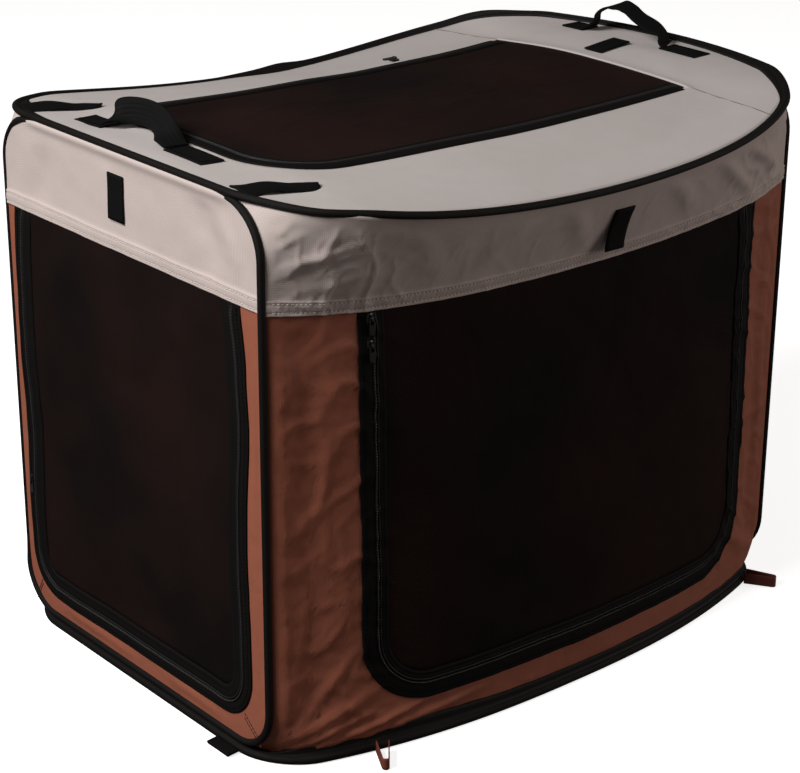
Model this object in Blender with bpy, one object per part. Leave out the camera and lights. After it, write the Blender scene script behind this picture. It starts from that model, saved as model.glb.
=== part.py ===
# Soft pet crate: four sprung wire hoops, sewn edge to edge, carry a fabric cabin that folds flat.
# Metres, +Z up. The origin is the middle of the floor, on the ground. +X runs along the long
# sides, the front is the long side at -Y, and the left end is the panel at -X.

import math

import bmesh
import bpy
from mathutils import Matrix, Vector

# Driving dimensions
LENGTH = 0.640          # from end panel to end panel
WIDTH = 0.400           # of the end hoops
LOW_AXIS = 0.0135       # centre of an end hoop's bottom run, on which the end folds
HIGH_AXIS = 0.519       # centre of its top run, on which the top folds
CORNER = 0.045          # corner radius of every hoop
RIM_RADIUS = 0.0045     # outer radius of the base and top bindings
END_RADIUS = 0.00375    # outer radius of the end bindings
WIRE_RADIUS = 0.0013
CLOTH = 0.0012          # two layers of oxford cloth
MESH_CLOTH = 0.0008
WEBBING = 0.0018
STRAP = 0.025           # width of every webbing strap
GAP = 0.0003
LAID = 0.0014           # clearance under a strap that lies on the top

# How far the long sides and the top leave the plain box
BASE_BOW = 0.053
BASE_POWER = 2.45
HEM_BOW = 0.026
TOP_BOW = 0.066
TOP_POWER = 4.7
TOP_SAG = 0.039         # droop of the top's long edges at mid length
TOP_LEAN = 0.10         # how much deeper it gets towards the right end
TOP_DIP = 0.004         # droop of its middle line
END_BULGE = 0.042       # how far the top reaches past the right end

# Bands, doors and window
HEM = 0.432             # lower edge of the side bands at the ends of the crate
HEM_SAG = 0.021
END_HEM = 0.434
SIDE_DOOR = {"left": -0.236, "right": 0.258, "bottom": 0.041, "radius": 0.070}
END_DOOR = {"left": -0.176, "right": 0.188, "bottom": 0.034, "radius": 0.045}
WINDOW = {"half": 0.138, "left": -0.258, "right": 0.243, "radius": 0.075}
FIXED_TAPE = 0.0155     # width of the zip tape sewn to a wall, up to its teeth
DOOR_TAPE = 0.010       # width of the zip tape sewn to a door

HALF_LENGTH = LENGTH / 2
HALF_WIDTH = WIDTH / 2
RIM_Z = HIGH_AXIS + END_RADIUS + 0.0005 + RIM_RADIUS
WALL_END = HALF_LENGTH - END_RADIUS - 0.00045
SLOT_DEPTH = 0.0023     # from a hoop's centre to the cloth edge held in its binding
SIDES = {"front": -1, "back": 1}
ENDS = {"left": -1, "right": 1}
SIDE_STEPS = (4, 6, 8)  # points up a side, round a corner and along the bottom of an outline
END_STEPS = (2, 5, 3)

COLOURS = {
    "beige": ("cbbdb3", 0.75, 0.0),
    "terracotta": ("8a503b", 0.6, 0.0),
    "black_cloth": ("141313", 0.8, 0.0),
    "black_mesh": ("0b0a0a", 0.9, 0.0),
    "webbing": ("100f0f", 0.85, 0.0),
    "zip": ("1b1b1c", 0.5, 0.0),
    "enamel": ("161617", 0.3, 0.6),
    "steel": ("b9b9b6", 0.3, 1.0),
}


# Materials

def linear(channel):
    return channel / 12.92 if channel <= 0.04045 else ((channel + 0.055) / 1.055) ** 2.4


def finish(name):
    material = bpy.data.materials.get(name)
    if material:
        return material
    code, roughness, metallic = COLOURS[name]
    channels = [linear(int(code[i:i + 2], 16) / 255) for i in (0, 2, 4)]
    material = bpy.data.materials.new(name)
    material.use_nodes = True
    shader = material.node_tree.nodes["Principled BSDF"]
    shader.inputs["Base Color"].default_value = (*channels, 1)
    shader.inputs["Roughness"].default_value = roughness
    shader.inputs["Metallic"].default_value = metallic
    return material


# Joint axes: an empty on each axis, whose local Z is the joint's direction

def axis_empty(name, location, direction):
    empty = bpy.data.objects.new(name, None)
    empty.empty_display_size = 0.03
    turn = Vector((0, 0, 1)).rotation_difference(Vector(direction))
    empty.matrix_world = Matrix.Translation(location) @ turn.to_matrix().to_4x4()
    bpy.context.scene.collection.objects.link(empty)
    return empty


def add(name, data, colour, parent=None):
    piece = bpy.data.objects.new(name, data)
    bpy.context.scene.collection.objects.link(piece)
    data.materials.append(finish(colour))
    if parent:
        piece.parent = parent
        piece.matrix_parent_inverse = parent.matrix_world.inverted()
    return piece


def face_outwards(mesh):
    bmesh.ops.recalc_face_normals(mesh, faces=mesh.faces[:])
    if mesh.calc_volume(signed=True) < 0:
        bmesh.ops.reverse_faces(mesh, faces=mesh.faces[:])


def from_bmesh(name, mesh, colour, parent=None, one_body=True):
    if one_body:
        face_outwards(mesh)
    data = bpy.data.meshes.new(name)
    mesh.to_mesh(data)
    mesh.free()
    return add(name, data, colour, parent)


# The surfaces that the cloth lies on

def corner_share(distance):
    # 1 at a panel's edge and 0 past its corner radius, along a quarter circle
    left_over = 1 - min(max(distance / CORNER, 0), 1)
    return 1 - math.sqrt(1 - left_over ** 2)


def along(x):
    return min(abs(x) / HALF_LENGTH, 1)


def hem_z(x):
    return HEM - HEM_SAG * (1 - along(x) ** 2)


def droop(x):
    return (1 - along(x) ** 2) * (1 + TOP_LEAN * x / HALF_LENGTH)


def rim_z(x):
    return RIM_Z - TOP_SAG * droop(x)


def side_reach(x, z):
    # distance of a long side from the middle plane at this length and height
    low = BASE_BOW * (1 - along(x) ** BASE_POWER)
    middle = HEM_BOW * (1 - along(x) ** TOP_POWER)
    high = TOP_BOW * (1 - along(x) ** TOP_POWER)
    hem = hem_z(x)
    if z < hem:
        bow = low + (middle - low) * max(z, 0) / hem
    else:
        bow = middle + (high - middle) * min((z - hem) / (rim_z(x) - hem), 1)
    rounding = max(corner_share(z - LOW_AXIS), corner_share(HIGH_AXIS - z))
    return HALF_WIDTH + bow - CORNER * rounding * corner_share(WALL_END - abs(x))


def top_z(x, y):
    reach = HALF_WIDTH + TOP_BOW * (1 - along(x) ** TOP_POWER)
    across = min(abs(y) / reach, 1)
    return RIM_Z - droop(x) * (TOP_DIP + (TOP_SAG - TOP_DIP) * across ** 2)


def on_side(side, offset=-CLOTH / 2):
    return lambda x, z, depth: Vector((x, SIDES[side] * (side_reach(x, z) + offset + depth), z))


def on_end(end, offset=-CLOTH / 2):
    return lambda y, z, depth: Vector((ENDS[end] * (HALF_LENGTH + offset + depth), y, z))


def on_top(offset=-CLOTH / 2):
    return lambda x, y, depth: Vector((x, y, top_z(x, y) + offset + depth))


def on_floor(x, y, depth):
    return Vector((x, y, depth))


# Outlines

def steps(start, end, count):
    return [start + (end - start) * i / count for i in range(count + 1)]


def u_path(left, right, bottom, radius, top, counts=(4, 5, 8), square=False):
    # from the top of the left side, round the bottom, to the top of the right side
    side, corner, floor = counts

    def bend(x, z, start):
        turned = []
        for turn in steps(start, start + math.pi / 2, corner)[1:]:
            a, b = math.cos(turn), math.sin(turn)
            reach = radius / max(abs(a), abs(b)) if square else radius
            turned.append((x + reach * a, z + reach * b))
        return turned

    points = [(left, z) for z in steps(top(left), bottom + radius, side)]
    points += bend(left + radius, bottom + radius, math.pi)
    points += [(x, bottom) for x in steps(left + radius, right - radius, floor)[1:]]
    points += bend(right - radius, bottom + radius, 1.5 * math.pi)
    points += [(right, z) for z in steps(bottom + radius, top(right), side)[1:]]
    return points


def door_path(door, inset, top, counts=(4, 5, 8)):
    return u_path(door["left"] + inset, door["right"] - inset, door["bottom"] + inset,
                  door["radius"] - inset, top, counts)


def rounded_bottom(a, left, right, bottom, radius):
    from_side = min(a - left, right - a)
    if from_side >= radius:
        return bottom
    return bottom + radius - math.sqrt(max(radius ** 2 - (radius - from_side) ** 2, 0))


def stations(left, right, radius, corner=4, middle=8):
    bends = [radius * (1 - math.cos(turn)) for turn in steps(0, math.pi / 2, corner)]
    inner = steps(left + radius, right - radius, middle)[1:-1]
    return [left + b for b in bends] + inner + [right - b for b in reversed(bends)]


def hoop_route(bow, power, bulge, height, inset=0.0, corner=5, side=10, end=1):
    # anticlockwise centre line of the base or top hoop, from the left end of the front
    radius = CORNER - inset
    centre_x = HALF_LENGTH - CORNER
    centre_y = HALF_WIDTH - CORNER
    quarter = [(centre_x + radius * math.cos(t), centre_y + radius * math.sin(t))
               for t in steps(0, math.pi / 2, corner)]
    straight = [(x, HALF_WIDTH - inset) for x in steps(centre_x, -centre_x, side)[1:-1]]
    back = quarter + straight + [(-x, y) for x, y in reversed(quarter)]
    left = [(-HALF_LENGTH + inset, y) for y in steps(centre_y, -centre_y, end)[1:-1]]
    right = [(HALF_LENGTH - inset, y) for y in steps(-centre_y, centre_y, end)[1:-1]]
    flat = back + left + [(x, -y) for x, y in reversed(back)] + right
    route = []
    for x, y in flat:
        share = min(abs(y) / HALF_WIDTH, 1)
        grown = y + math.copysign(bow * (1 - along(x) ** power) * share, y)
        pushed = x + bulge * (1 - share ** 2) * max(0, (x - centre_x) / CORNER)
        route.append((pushed, grown, height(x)))
    return route


def end_route(inset=0.0, corner=5):
    # anticlockwise outline of an end hoop in its own plane: (y, z)
    radius = CORNER - inset
    y_centre = HALF_WIDTH - CORNER
    route = []
    for turn, y, z in ((0, y_centre, HIGH_AXIS - CORNER), (1, -y_centre, HIGH_AXIS - CORNER),
                       (2, -y_centre, LOW_AXIS + CORNER), (3, y_centre, LOW_AXIS + CORNER)):
        for t in steps(turn * math.pi / 2, (turn + 1) * math.pi / 2, corner):
            route.append((y + radius * math.cos(t), z + radius * math.sin(t)))
    return route


# Sheets of cloth

def sheet(name, low_edge, high_edge, depth, place, colour, parent=None, closed=False, rows=(0, 1)):
    # the strip between two edges with the same number of points, thickened by depth
    mesh = bmesh.new()
    lines = []
    for share in rows:
        lines.append([mesh.verts.new((a[0] + (b[0] - a[0]) * share, a[1] + (b[1] - a[1]) * share, 0))
                      for a, b in zip(low_edge, high_edge)])
    count = len(low_edge)
    for lower, upper in zip(lines, lines[1:]):
        for i in range(count if closed else count - 1):
            j = (i + 1) % count
            mesh.faces.new((lower[i], lower[j], upper[j], upper[i]))
    grown = bmesh.ops.extrude_face_region(mesh, geom=mesh.faces[:])
    lifted = [v for v in grown["geom"] if isinstance(v, bmesh.types.BMVert)]
    bmesh.ops.translate(mesh, verts=lifted, vec=(0, 0, depth))
    for v in mesh.verts:
        v.co = place(v.co.x, v.co.y, v.co.z)
    return from_bmesh(name, mesh, colour, parent)


def strap(name, line, thickness, width, colour, parent=None, bend=None):
    # webbing whose long section lies along line in the (along, up) plane, centred across it
    mesh = bmesh.new()
    above, below = [], []
    for i, point in enumerate(line):
        before = Vector(line[max(i - 1, 0)])
        after = Vector(line[min(i + 1, len(line) - 1)])
        direction = (after - before).normalized()
        normal = Vector((-direction.y, direction.x)) * thickness / 2
        above.append(Vector(point) + normal)
        below.append(Vector(point) - normal)
    edge = [mesh.verts.new((-width / 2, p.x, p.y)) for p in above + below[::-1]]
    count = len(line)
    for i in range(count - 1):
        mesh.faces.new((edge[i], edge[i + 1], edge[-2 - i], edge[-1 - i]))
    grown = bmesh.ops.extrude_face_region(mesh, geom=mesh.faces[:])
    lifted = [v for v in grown["geom"] if isinstance(v, bmesh.types.BMVert)]
    bmesh.ops.translate(mesh, verts=lifted, vec=(width, 0, 0))
    if bend:
        for v in mesh.verts:
            v.co = bend(v.co)
    return from_bmesh(name, mesh, colour, parent)


# Hoops: a spring wire in a folded tape

def route_curve(name, points):
    data = bpy.data.curves.new(name, "CURVE")
    data.dimensions = "3D"
    data.twist_mode = "Z_UP"
    spline = data.splines.new("POLY")
    spline.points.add(len(points) - 1)
    for point, place in zip(spline.points, points):
        point.co = (*place, 1)
    spline.use_cyclic_u = True
    return data


def binding_section(radius):
    # a ring cut open towards the cloth, so that the wire and the cloth edge fit inside
    opening = math.radians(32)
    hollow = WIRE_RADIUS + 0.0005
    outer = [(radius * math.cos(t), radius * math.sin(t)) for t in steps(opening, 2 * math.pi - opening, 8)]
    inner = [(hollow * math.cos(t), hollow * math.sin(t)) for t in steps(2 * math.pi - opening, opening, 6)]
    section = bpy.data.objects.new("binding_section", route_curve("binding_section", [
        (-x, y, 0) for x, y in outer + inner]))
    section.hide_render = True
    section.display_type = "WIRE"
    bpy.context.scene.collection.objects.link(section)
    return section


def hoop(name, points, radius, turn, parent=None):
    wire = route_curve(name + "_wire_hoop", points)
    wire.bevel_depth = WIRE_RADIUS
    wire.bevel_resolution = 1
    tape = route_curve(name + "_rim_binding", points)
    tape.bevel_mode = "OBJECT"
    tape.bevel_object = binding_section(radius)
    for data, colour in ((wire, "steel"), (tape, "black_cloth")):
        piece = add(data.name, data, colour)
        piece.matrix_world = turn
        if parent:
            piece.parent = parent
            piece.matrix_parent_inverse = parent.matrix_world.inverted()


def base_hoop():
    hoop("base", hoop_route(BASE_BOW, BASE_POWER, 0, lambda x: RIM_RADIUS), RIM_RADIUS, Matrix())


def top_hoop(parent):
    hoop("top", hoop_route(TOP_BOW, TOP_POWER, END_BULGE, rim_z, end=5), RIM_RADIUS, Matrix(), parent)


def end_hoop(end, parent):
    upright = Matrix(((0, 0, 1, ENDS[end] * HALF_LENGTH), (1, 0, 0, 0), (0, 1, 0, 0), (0, 0, 0, 1)))
    hoop(end + "_end", [(y, z, 0) for y, z in end_route()], END_RADIUS, upright, parent)


# Base

def floor_panel():
    route = hoop_route(BASE_BOW, BASE_POWER, 0, lambda x: 0, inset=0.0038)
    outline = [(x, y) for x, y, z in route]
    half = len(outline) // 2
    sheet("floor_panel", outline[half:], outline[:half][::-1], 0.0015, on_floor, "black_cloth")


def wall_stations():
    return stations(-WALL_END, WALL_END, CORNER, 5, 8)


def side_walls(side):
    top = lambda x: hem_z(x) - GAP
    outer = u_path(-WALL_END, WALL_END, 2 * RIM_RADIUS + GAP, CORNER, top, SIDE_STEPS, square=True)
    inner = door_path(SIDE_DOOR, -GAP, top, SIDE_STEPS)
    rows = (0, 0.45, 0.75, 0.92, 1)
    sheet(side + "_wall_panel", inner, outer, CLOTH, on_side(side), "terracotta", rows=rows)
    low = [(x, hem_z(x) + GAP) for x in wall_stations()]
    high = [(x, rim_z(x) - RIM_RADIUS - 0.0005) for x in wall_stations()]
    sheet(side + "_band", low, high, CLOTH, on_side(side), "beige", rows=(0, 0.5, 1))
    tape_inner = door_path(SIDE_DOOR, FIXED_TAPE, top, SIDE_STEPS)
    tape_outer = door_path(SIDE_DOOR, 0, top, SIDE_STEPS)
    sheet(side + "_zip_tape", tape_inner, tape_outer, CLOTH, on_side(side), "zip")


LOOP = {"length": 0.032, "spread": 0.015, "ribbon": 0.012, "thick": 0.0010, "tip": 0.0025}


def stake_loop(name, x, y_side, degrees):
    # a ribbon on edge: two legs from the binding that meet at a rounded tip
    half, length, tip = LOOP["spread"] / 2, LOOP["length"], LOOP["tip"]
    line = [(-half, 0)] + [(tip * math.cos(t), length - tip + tip * math.sin(t))
                           for t in steps(math.pi, 0, 4)] + [(half, 0)]
    root = Vector((x, y_side * (side_reach(x, 0) + RIM_RADIUS + 0.0022), 0.0005 + LOOP["ribbon"] / 2))
    frame = Matrix.Translation(root) @ Matrix.Rotation(math.radians(degrees - 90), 4, "Z")
    lay = lambda v: frame @ Vector((v.y, v.z, v.x))
    strap(name, line, LOOP["thick"], LOOP["ribbon"], "terracotta", bend=lay)


def stake_loops():
    stake_loop("front_left_stake_loop", -0.222, -1, -108)
    stake_loop("front_right_stake_loop", 0.286, -1, -62)
    stake_loop("back_left_stake_loop", -0.222, 1, 108)
    stake_loop("back_right_stake_loop", 0.286, 1, 62)


def corner_tab():
    # folded webbing that peeps out under the near left corner
    front_edge = -HALF_LENGTH - RIM_RADIUS - GAP
    line = [(front_edge, 0.0025), (front_edge - 0.004, 0.0025), (front_edge - 0.011, 0.0018)]
    turn = lambda v: Vector((v.y, v.x - 0.142, v.z))
    strap("corner_tab", line, 0.0030, 0.034, "webbing", bend=turn)


# Ends

def end_panels(end, parent):
    radius = CORNER - SLOT_DEPTH
    edge = HALF_WIDTH - SLOT_DEPTH
    top = lambda y: END_HEM - GAP / 2
    outer = u_path(-edge, edge, LOW_AXIS + SLOT_DEPTH, radius, top, END_STEPS)
    inner = door_path(END_DOOR, -GAP, top, END_STEPS)
    place = on_end(end)
    sheet(end + "_end_panel", inner, outer, CLOTH, place, "terracotta", parent)
    ys = stations(-edge, edge, radius, 5, 3)
    low = [(y, END_HEM + GAP / 2) for y in ys]
    high = [(y, HIGH_AXIS - SLOT_DEPTH - rounded_bottom(y, -edge, edge, 0, radius)) for y in ys]
    sheet(end + "_end_band", low, high, CLOTH, place, "beige", parent)
    tape_inner = door_path(END_DOOR, FIXED_TAPE - 0.0035, top, END_STEPS)
    tape_outer = door_path(END_DOOR, 0, top, END_STEPS)
    sheet(end + "_end_zip_tape", tape_inner, tape_outer, CLOTH, place, "zip", parent)


# Doors: a mesh panel edged with the second half of the zip tape

def door(name, opening, tape, place, top, parent, counts):
    first = tape + GAP
    second = first + DOOR_TAPE
    outer = door_path(opening, first, top, counts)
    inner = door_path(opening, second, top, counts)
    sheet(name + "_zip_edge", inner, outer, CLOTH, place, "zip", parent)
    inset = second + GAP
    left, right = opening["left"] + inset, opening["right"] - inset
    bottom, radius = opening["bottom"] + inset, opening["radius"] - inset
    across = stations(left, right, radius, counts[1], counts[2])
    low = [(a, rounded_bottom(a, left, right, bottom, radius)) for a in across]
    high = [(a, top(a)) for a in across]
    sheet(name + "_mesh", low, high, MESH_CLOTH, place, "black_mesh", parent)


def side_door(side):
    hinge_z = hem_z(0) - GAP
    hinge = Vector((0, SIDES[side] * (HALF_WIDTH + HEM_BOW + CLOTH / 2 + 0.0003), hinge_z))
    parent = axis_empty(side + "_door_axis", hinge, (-SIDES[side], 0, 0))
    top = lambda x: hem_z(x) - 2 * GAP
    door(side + "_door", SIDE_DOOR, FIXED_TAPE, on_side(side), top, parent, SIDE_STEPS)


def end_door(end, parent_axis):
    hinge = Vector((ENDS[end] * (HALF_LENGTH + CLOTH / 2 + 0.0003), 0, END_HEM - GAP))
    parent = axis_empty(end + "_door_axis", hinge, (0, ENDS[end], 0))
    parent.parent = parent_axis
    parent.matrix_parent_inverse = parent_axis.matrix_world.inverted()
    top = lambda y: END_HEM - GAP / 2 - 0.0003
    door(end + "_door", END_DOOR, FIXED_TAPE - 0.0035, on_end(end), top, parent, END_STEPS)


# Zip sliders with their pulls: local X across the tape, local Y along the closed zip towards
# the pull's free end, local Z out of the cloth

SLIDER = {"length": 0.009, "width": 0.0078, "plate": 0.0018, "crown": 0.0034, "lift": 0.0006}
PULL = {"length": 0.0150, "width": 0.0056, "thick": 0.0011, "eye": 0.0056}


def slider_mesh():
    mesh = bmesh.new()
    half, up = SLIDER["length"] / 2, SLIDER["plate"]
    bmesh.ops.create_cube(mesh, size=1)
    bmesh.ops.scale(mesh, verts=mesh.verts[:], vec=(SLIDER["width"], SLIDER["length"], up))
    bmesh.ops.translate(mesh, verts=mesh.verts[:], vec=(0, 0, up / 2))
    corners = [e for e in mesh.edges if abs(e.verts[0].co.z - e.verts[1].co.z) > up / 2]
    bmesh.ops.bevel(mesh, geom=corners, offset=0.0016, affect="EDGES", segments=2, profile=0.5, material=-1)
    plate = bpy.data.meshes.new("slider_plate")
    mesh.to_mesh(plate)
    mesh.free()
    # the crown is an arch over the pull's cross bar
    arch = bmesh.new()
    outer, inner = [], []
    for turn in steps(0, math.pi, 6):
        outer.append((half * 0.86 * math.cos(turn), up - 0.0004 + SLIDER["crown"] * math.sin(turn)))
        inner.append((half * 0.62 * math.cos(turn), up - 0.0004 + (SLIDER["crown"] - 0.0008) * math.sin(turn)))
    rows = [arch.verts.new((-0.0009, a, b)) for a, b in outer + inner[::-1]]
    for i in range(len(outer) - 1):
        arch.faces.new((rows[i], rows[i + 1], rows[-2 - i], rows[-1 - i]))
    grown = bmesh.ops.extrude_face_region(arch, geom=arch.faces[:])
    lifted = [v for v in grown["geom"] if isinstance(v, bmesh.types.BMVert)]
    bmesh.ops.translate(arch, verts=lifted, vec=(0.0018, 0, 0))
    face_outwards(arch)
    crown = bpy.data.meshes.new("slider_crown")
    arch.to_mesh(crown)
    arch.free()
    return plate, crown


def pull_mesh():
    # a tag with an eye; the axis runs through the eye's cross bar at the origin
    bar = 0.0005
    half = PULL["width"] / 2
    eye_half = 0.0017
    hole = [(-eye_half, bar), (eye_half, bar), (eye_half, PULL["eye"]), (0, PULL["eye"]), (-eye_half, PULL["eye"])]
    end = PULL["length"]
    rim = [(-half, -bar), (half, -bar), (half, end - 0.002), (0, end), (-half, end - 0.002)]
    lay = lambda a, b, depth: Vector((a, b, depth - PULL["thick"] / 2))
    piece = sheet("pull", hole, rim, PULL["thick"], lay, "enamel", closed=True)
    data = piece.data
    bpy.data.objects.remove(piece)
    return data


def add_slider(name, frame, travel, slider_parts, pull_data, parent):
    plate, crown = slider_parts
    lift = Matrix.Translation((0, 0, CLOTH / 2 + SLIDER["lift"]))
    body = bpy.data.objects.new(name + "_slider", plate.copy())
    bpy.context.scene.collection.objects.link(body)
    body.data.materials.append(finish("enamel"))
    arch = bpy.data.objects.new(name + "_crown_guide", crown)
    bpy.context.scene.collection.objects.link(arch)
    arch.hide_render = True
    arch.display_type = "WIRE"
    joined = body.modifiers.new("crown", "BOOLEAN")
    joined.operation = "UNION"
    joined.solver = "EXACT"
    joined.object = arch
    body.matrix_world = frame @ lift
    arch.matrix_world = frame @ lift
    slide = axis_empty(name + "_slide_axis", body.matrix_world.translation, -travel)
    if parent:
        slide.parent = parent
        slide.matrix_parent_inverse = parent.matrix_world.inverted()
    for piece in (body, arch):
        piece.parent = slide
        piece.matrix_parent_inverse = slide.matrix_world.inverted()
    height = SLIDER["plate"] + 0.0013
    hinge = frame @ lift @ Matrix.Translation((0, 0, height))
    swing = axis_empty(name + "_pull_axis", hinge.translation, -frame.col[0].to_3d())
    swing.parent = slide
    swing.matrix_parent_inverse = slide.matrix_world.inverted()
    tag = bpy.data.objects.new(name + "_pull", pull_data)
    bpy.context.scene.collection.objects.link(tag)
    tag.matrix_world = hinge
    tag.parent = swing
    tag.matrix_parent_inverse = swing.matrix_world.inverted()


def surface_frame(place, point, ahead):
    # frame on a cloth surface at point, its local Y towards ahead and its local Z outwards
    here = place(*point, CLOTH / 2)
    run = (place(*ahead, CLOTH / 2) - here).normalized()
    out = (place(*point, 1) - place(*point, 0)).normalized()
    across = run.cross(out).normalized()
    out = across.cross(run).normalized()
    frame = Matrix((across, run, out)).transposed().to_4x4()
    frame.translation = here
    return frame


def fit_slider(name, place, start, stop, ahead, parts, parent):
    # start and stop are the ends of its travel; ahead is the side its pull hangs to
    frame = surface_frame(place, start, ahead)
    travel = (place(*stop, CLOTH / 2) - frame.translation).normalized()
    add_slider(name, frame, travel, *parts, parent)


def sliders(left_axis, right_axis, top_axis):
    parts = (slider_mesh(), pull_mesh())
    x = SIDE_DOOR["left"] + FIXED_TAPE - SLIDER["width"] / 2 - 0.0005
    for name, side, z in (("front_upper", "front", 0.412), ("front_lower", "front", 0.388),
                          ("back", "back", 0.400)):
        fit_slider(name, on_side(side), (x, z), (x, 0.13), (x, 0.12), parts, None)
    for end, parent in (("left", left_axis), ("right", right_axis)):
        y = END_DOOR["right"] - FIXED_TAPE + 0.0035 + SLIDER["width"] / 2 + 0.0005
        fit_slider(end, on_end(end), (y, 0.153), (y, 0.42), (y, 0.10), parts, parent)
    y = WINDOW["half"] - FIXED_TAPE + 0.0035 + SLIDER["width"] / 2 + 0.0005
    fit_slider("top", on_top(), (0.095, y), (-0.135, y), (-0.035, y), parts, top_axis)


# Ties: short webbing tabs that hold a rolled-up door

def tie(name, place, point, down, parent, clear=GAP):
    # hangs from its sewn upper edge, just clear of the band
    frame = surface_frame(place, point, down)
    start = CLOTH / 2 + clear + WEBBING / 2
    line = [(a, start + 0.0005 * a / 0.04) for a in steps(0, 0.042, 3)]
    move = lambda v: frame @ v
    across = -frame.col[0].to_3d()
    hinge = frame @ Vector((0, 0, start))
    swing = axis_empty(name + "_axis", hinge, across)
    if parent:
        swing.parent = parent
        swing.matrix_parent_inverse = parent.matrix_world.inverted()
    strap(name, line, WEBBING, STRAP, "webbing", swing, bend=move)


def ties(left_axis, right_axis, top_axis):
    tie("left_tie", on_end("left"), (0.009, 0.5015), (0.009, 0.45), left_axis)
    tie("right_tie", on_end("right"), (0.009, 0.5015), (0.009, 0.45), right_axis)
    tie("front_tie", on_side("front"), (0.043, 0.4635), (0.043, 0.43), None)
    tie("back_tie", on_side("back"), (0.043, 0.4635), (0.043, 0.43), None)
    tie("top_tie", on_top(), (0.2595, 0.011), (0.305, 0.011), top_axis, LAID)


# Top

def top_panel(parent):
    outer = [(x, y) for x, y, z in hoop_route(TOP_BOW, TOP_POWER, END_BULGE, rim_z, 0.0046, end=5)]
    right, half = WINDOW["right"], WINDOW["half"]
    inner = [(right, y) for y in steps(half * 0.6, half, 5)[:-1]]
    inner += window_path(-GAP, right)[::-1]
    inner += [(right, y) for y in steps(-half, half * 0.6, 10)[1:-1]]
    sheet("top_panel", inner, outer, CLOTH, on_top(), "beige", parent, closed=True, rows=(0, 0.33, 0.67, 1))


def window_path(inset, end=WINDOW["right"] - GAP):
    # the zip's U in the (y, x) plane, opening towards the right end, given back as (x, y)
    half = WINDOW["half"] - inset
    u = u_path(-half, half, WINDOW["left"] + inset, WINDOW["radius"] - inset,
               lambda y: end, (10, 5, 5))
    return [(x, y) for y, x in u]


def top_window(parent):
    tape = FIXED_TAPE - 0.0035
    sheet("top_zip_tape", window_path(0), window_path(tape), CLOTH, on_top(), "zip", parent)
    hinge = Vector((WINDOW["right"], 0, top_z(WINDOW["right"], 0) + CLOTH / 2 + GAP))
    flap = axis_empty("top_flap_axis", hinge, (0, -1, 0))
    flap.parent = parent
    flap.matrix_parent_inverse = parent.matrix_world.inverted()
    edge = tape + GAP
    inside = edge + DOOR_TAPE
    sheet("top_flap_zip_edge", window_path(edge), window_path(inside), CLOTH, on_top(), "zip", flap)
    outline = window_path(inside + GAP)
    front, back = outline[:16], outline[20:][::-1]
    sheet("top_flap_mesh", front, back, MESH_CLOTH, on_top(), "black_mesh", flap, rows=steps(0, 1, 5))


HANDLES = {
    "left": {"x": -0.279, "roots": (-0.021, 0.076), "height": 0.018, "lean": 0.026},
    "right": {"x": 0.322, "roots": (-0.045, 0.080), "height": 0.044, "lean": 0.0},
}


def handle(end, size, parent):
    x = size["x"]
    start, finish_y = size["roots"]
    base = max(top_z(x - STRAP / 2, start), top_z(x + STRAP / 2, start)) + CLOTH / 2 + LAID
    middle, half = (start + finish_y) / 2, (finish_y - start) / 2
    line = [(middle - (half - WEBBING / 2) * math.cos(t), base + size["height"] * math.sin(t))
            for t in steps(0, math.pi, 14)]
    edge = x + ENDS[end] * STRAP / 2
    hinge = Vector((edge, middle, base))
    swing = axis_empty(end + "_handle_axis", hinge, (0, -ENDS[end], 0))
    swing.parent = parent
    swing.matrix_parent_inverse = parent.matrix_world.inverted()

    def lean(v):
        share = max(v.z - base, 0) / size["height"]
        return Vector((v.x + x + size["lean"] * share, v.y, max(v.z, base)))

    strap(end + "_handle", line, WEBBING, STRAP, "webbing", swing, bend=lean)


def corner_straps(parent):
    for name, y in (("front_corner_strap", -0.166), ("back_corner_strap", 0.172)):
        start, end = -0.3065, -0.244
        low = [(x, y - STRAP / 2) for x in steps(start, end, 3)]
        high = [(x, y + STRAP / 2) for x in steps(start, end, 3)]
        hinge = Vector((start, y, top_z(start, y) + CLOTH / 2 + LAID + WEBBING / 2))
        swing = axis_empty(name + "_axis", hinge, (0, 1, 0))
        swing.parent = parent
        swing.matrix_parent_inverse = parent.matrix_world.inverted()
        sheet(name, low, high, WEBBING, on_top(CLOTH / 2 + LAID), "webbing", swing)


# Assembly

def clear_scene():
    for piece in list(bpy.data.objects):
        bpy.data.objects.remove(piece)


def main():
    clear_scene()
    base_hoop()
    floor_panel()
    for side in SIDES:
        side_walls(side)
        side_door(side)
    stake_loops()
    corner_tab()
    axes = {}
    for end in ENDS:
        foot = Vector((ENDS[end] * HALF_LENGTH, 0, LOW_AXIS))
        axes[end] = axis_empty(end + "_end_axis", foot, (0, -1, 0))
        end_hoop(end, axes[end])
        end_panels(end, axes[end])
        end_door(end, axes[end])
    top_axis = axis_empty("top_axis", Vector((-HALF_LENGTH, 0, HIGH_AXIS)), (0, -1, 0))
    top_axis.parent = axes["left"]
    top_axis.matrix_parent_inverse = axes["left"].matrix_world.inverted()
    top_hoop(top_axis)
    top_panel(top_axis)
    top_window(top_axis)
    for end, size in HANDLES.items():
        handle(end, size, top_axis)
    corner_straps(top_axis)
    sliders(axes["left"], axes["right"], top_axis)
    ties(axes["left"], axes["right"], top_axis)
    bpy.context.view_layer.update()


main()
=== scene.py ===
# Soft pet crate: the finished surfaces, dressed over the crate's own frame. Metres, +Z up.
import math
from functools import partial

import bmesh
import bpy
from mathutils import Matrix, Vector, noise


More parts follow.
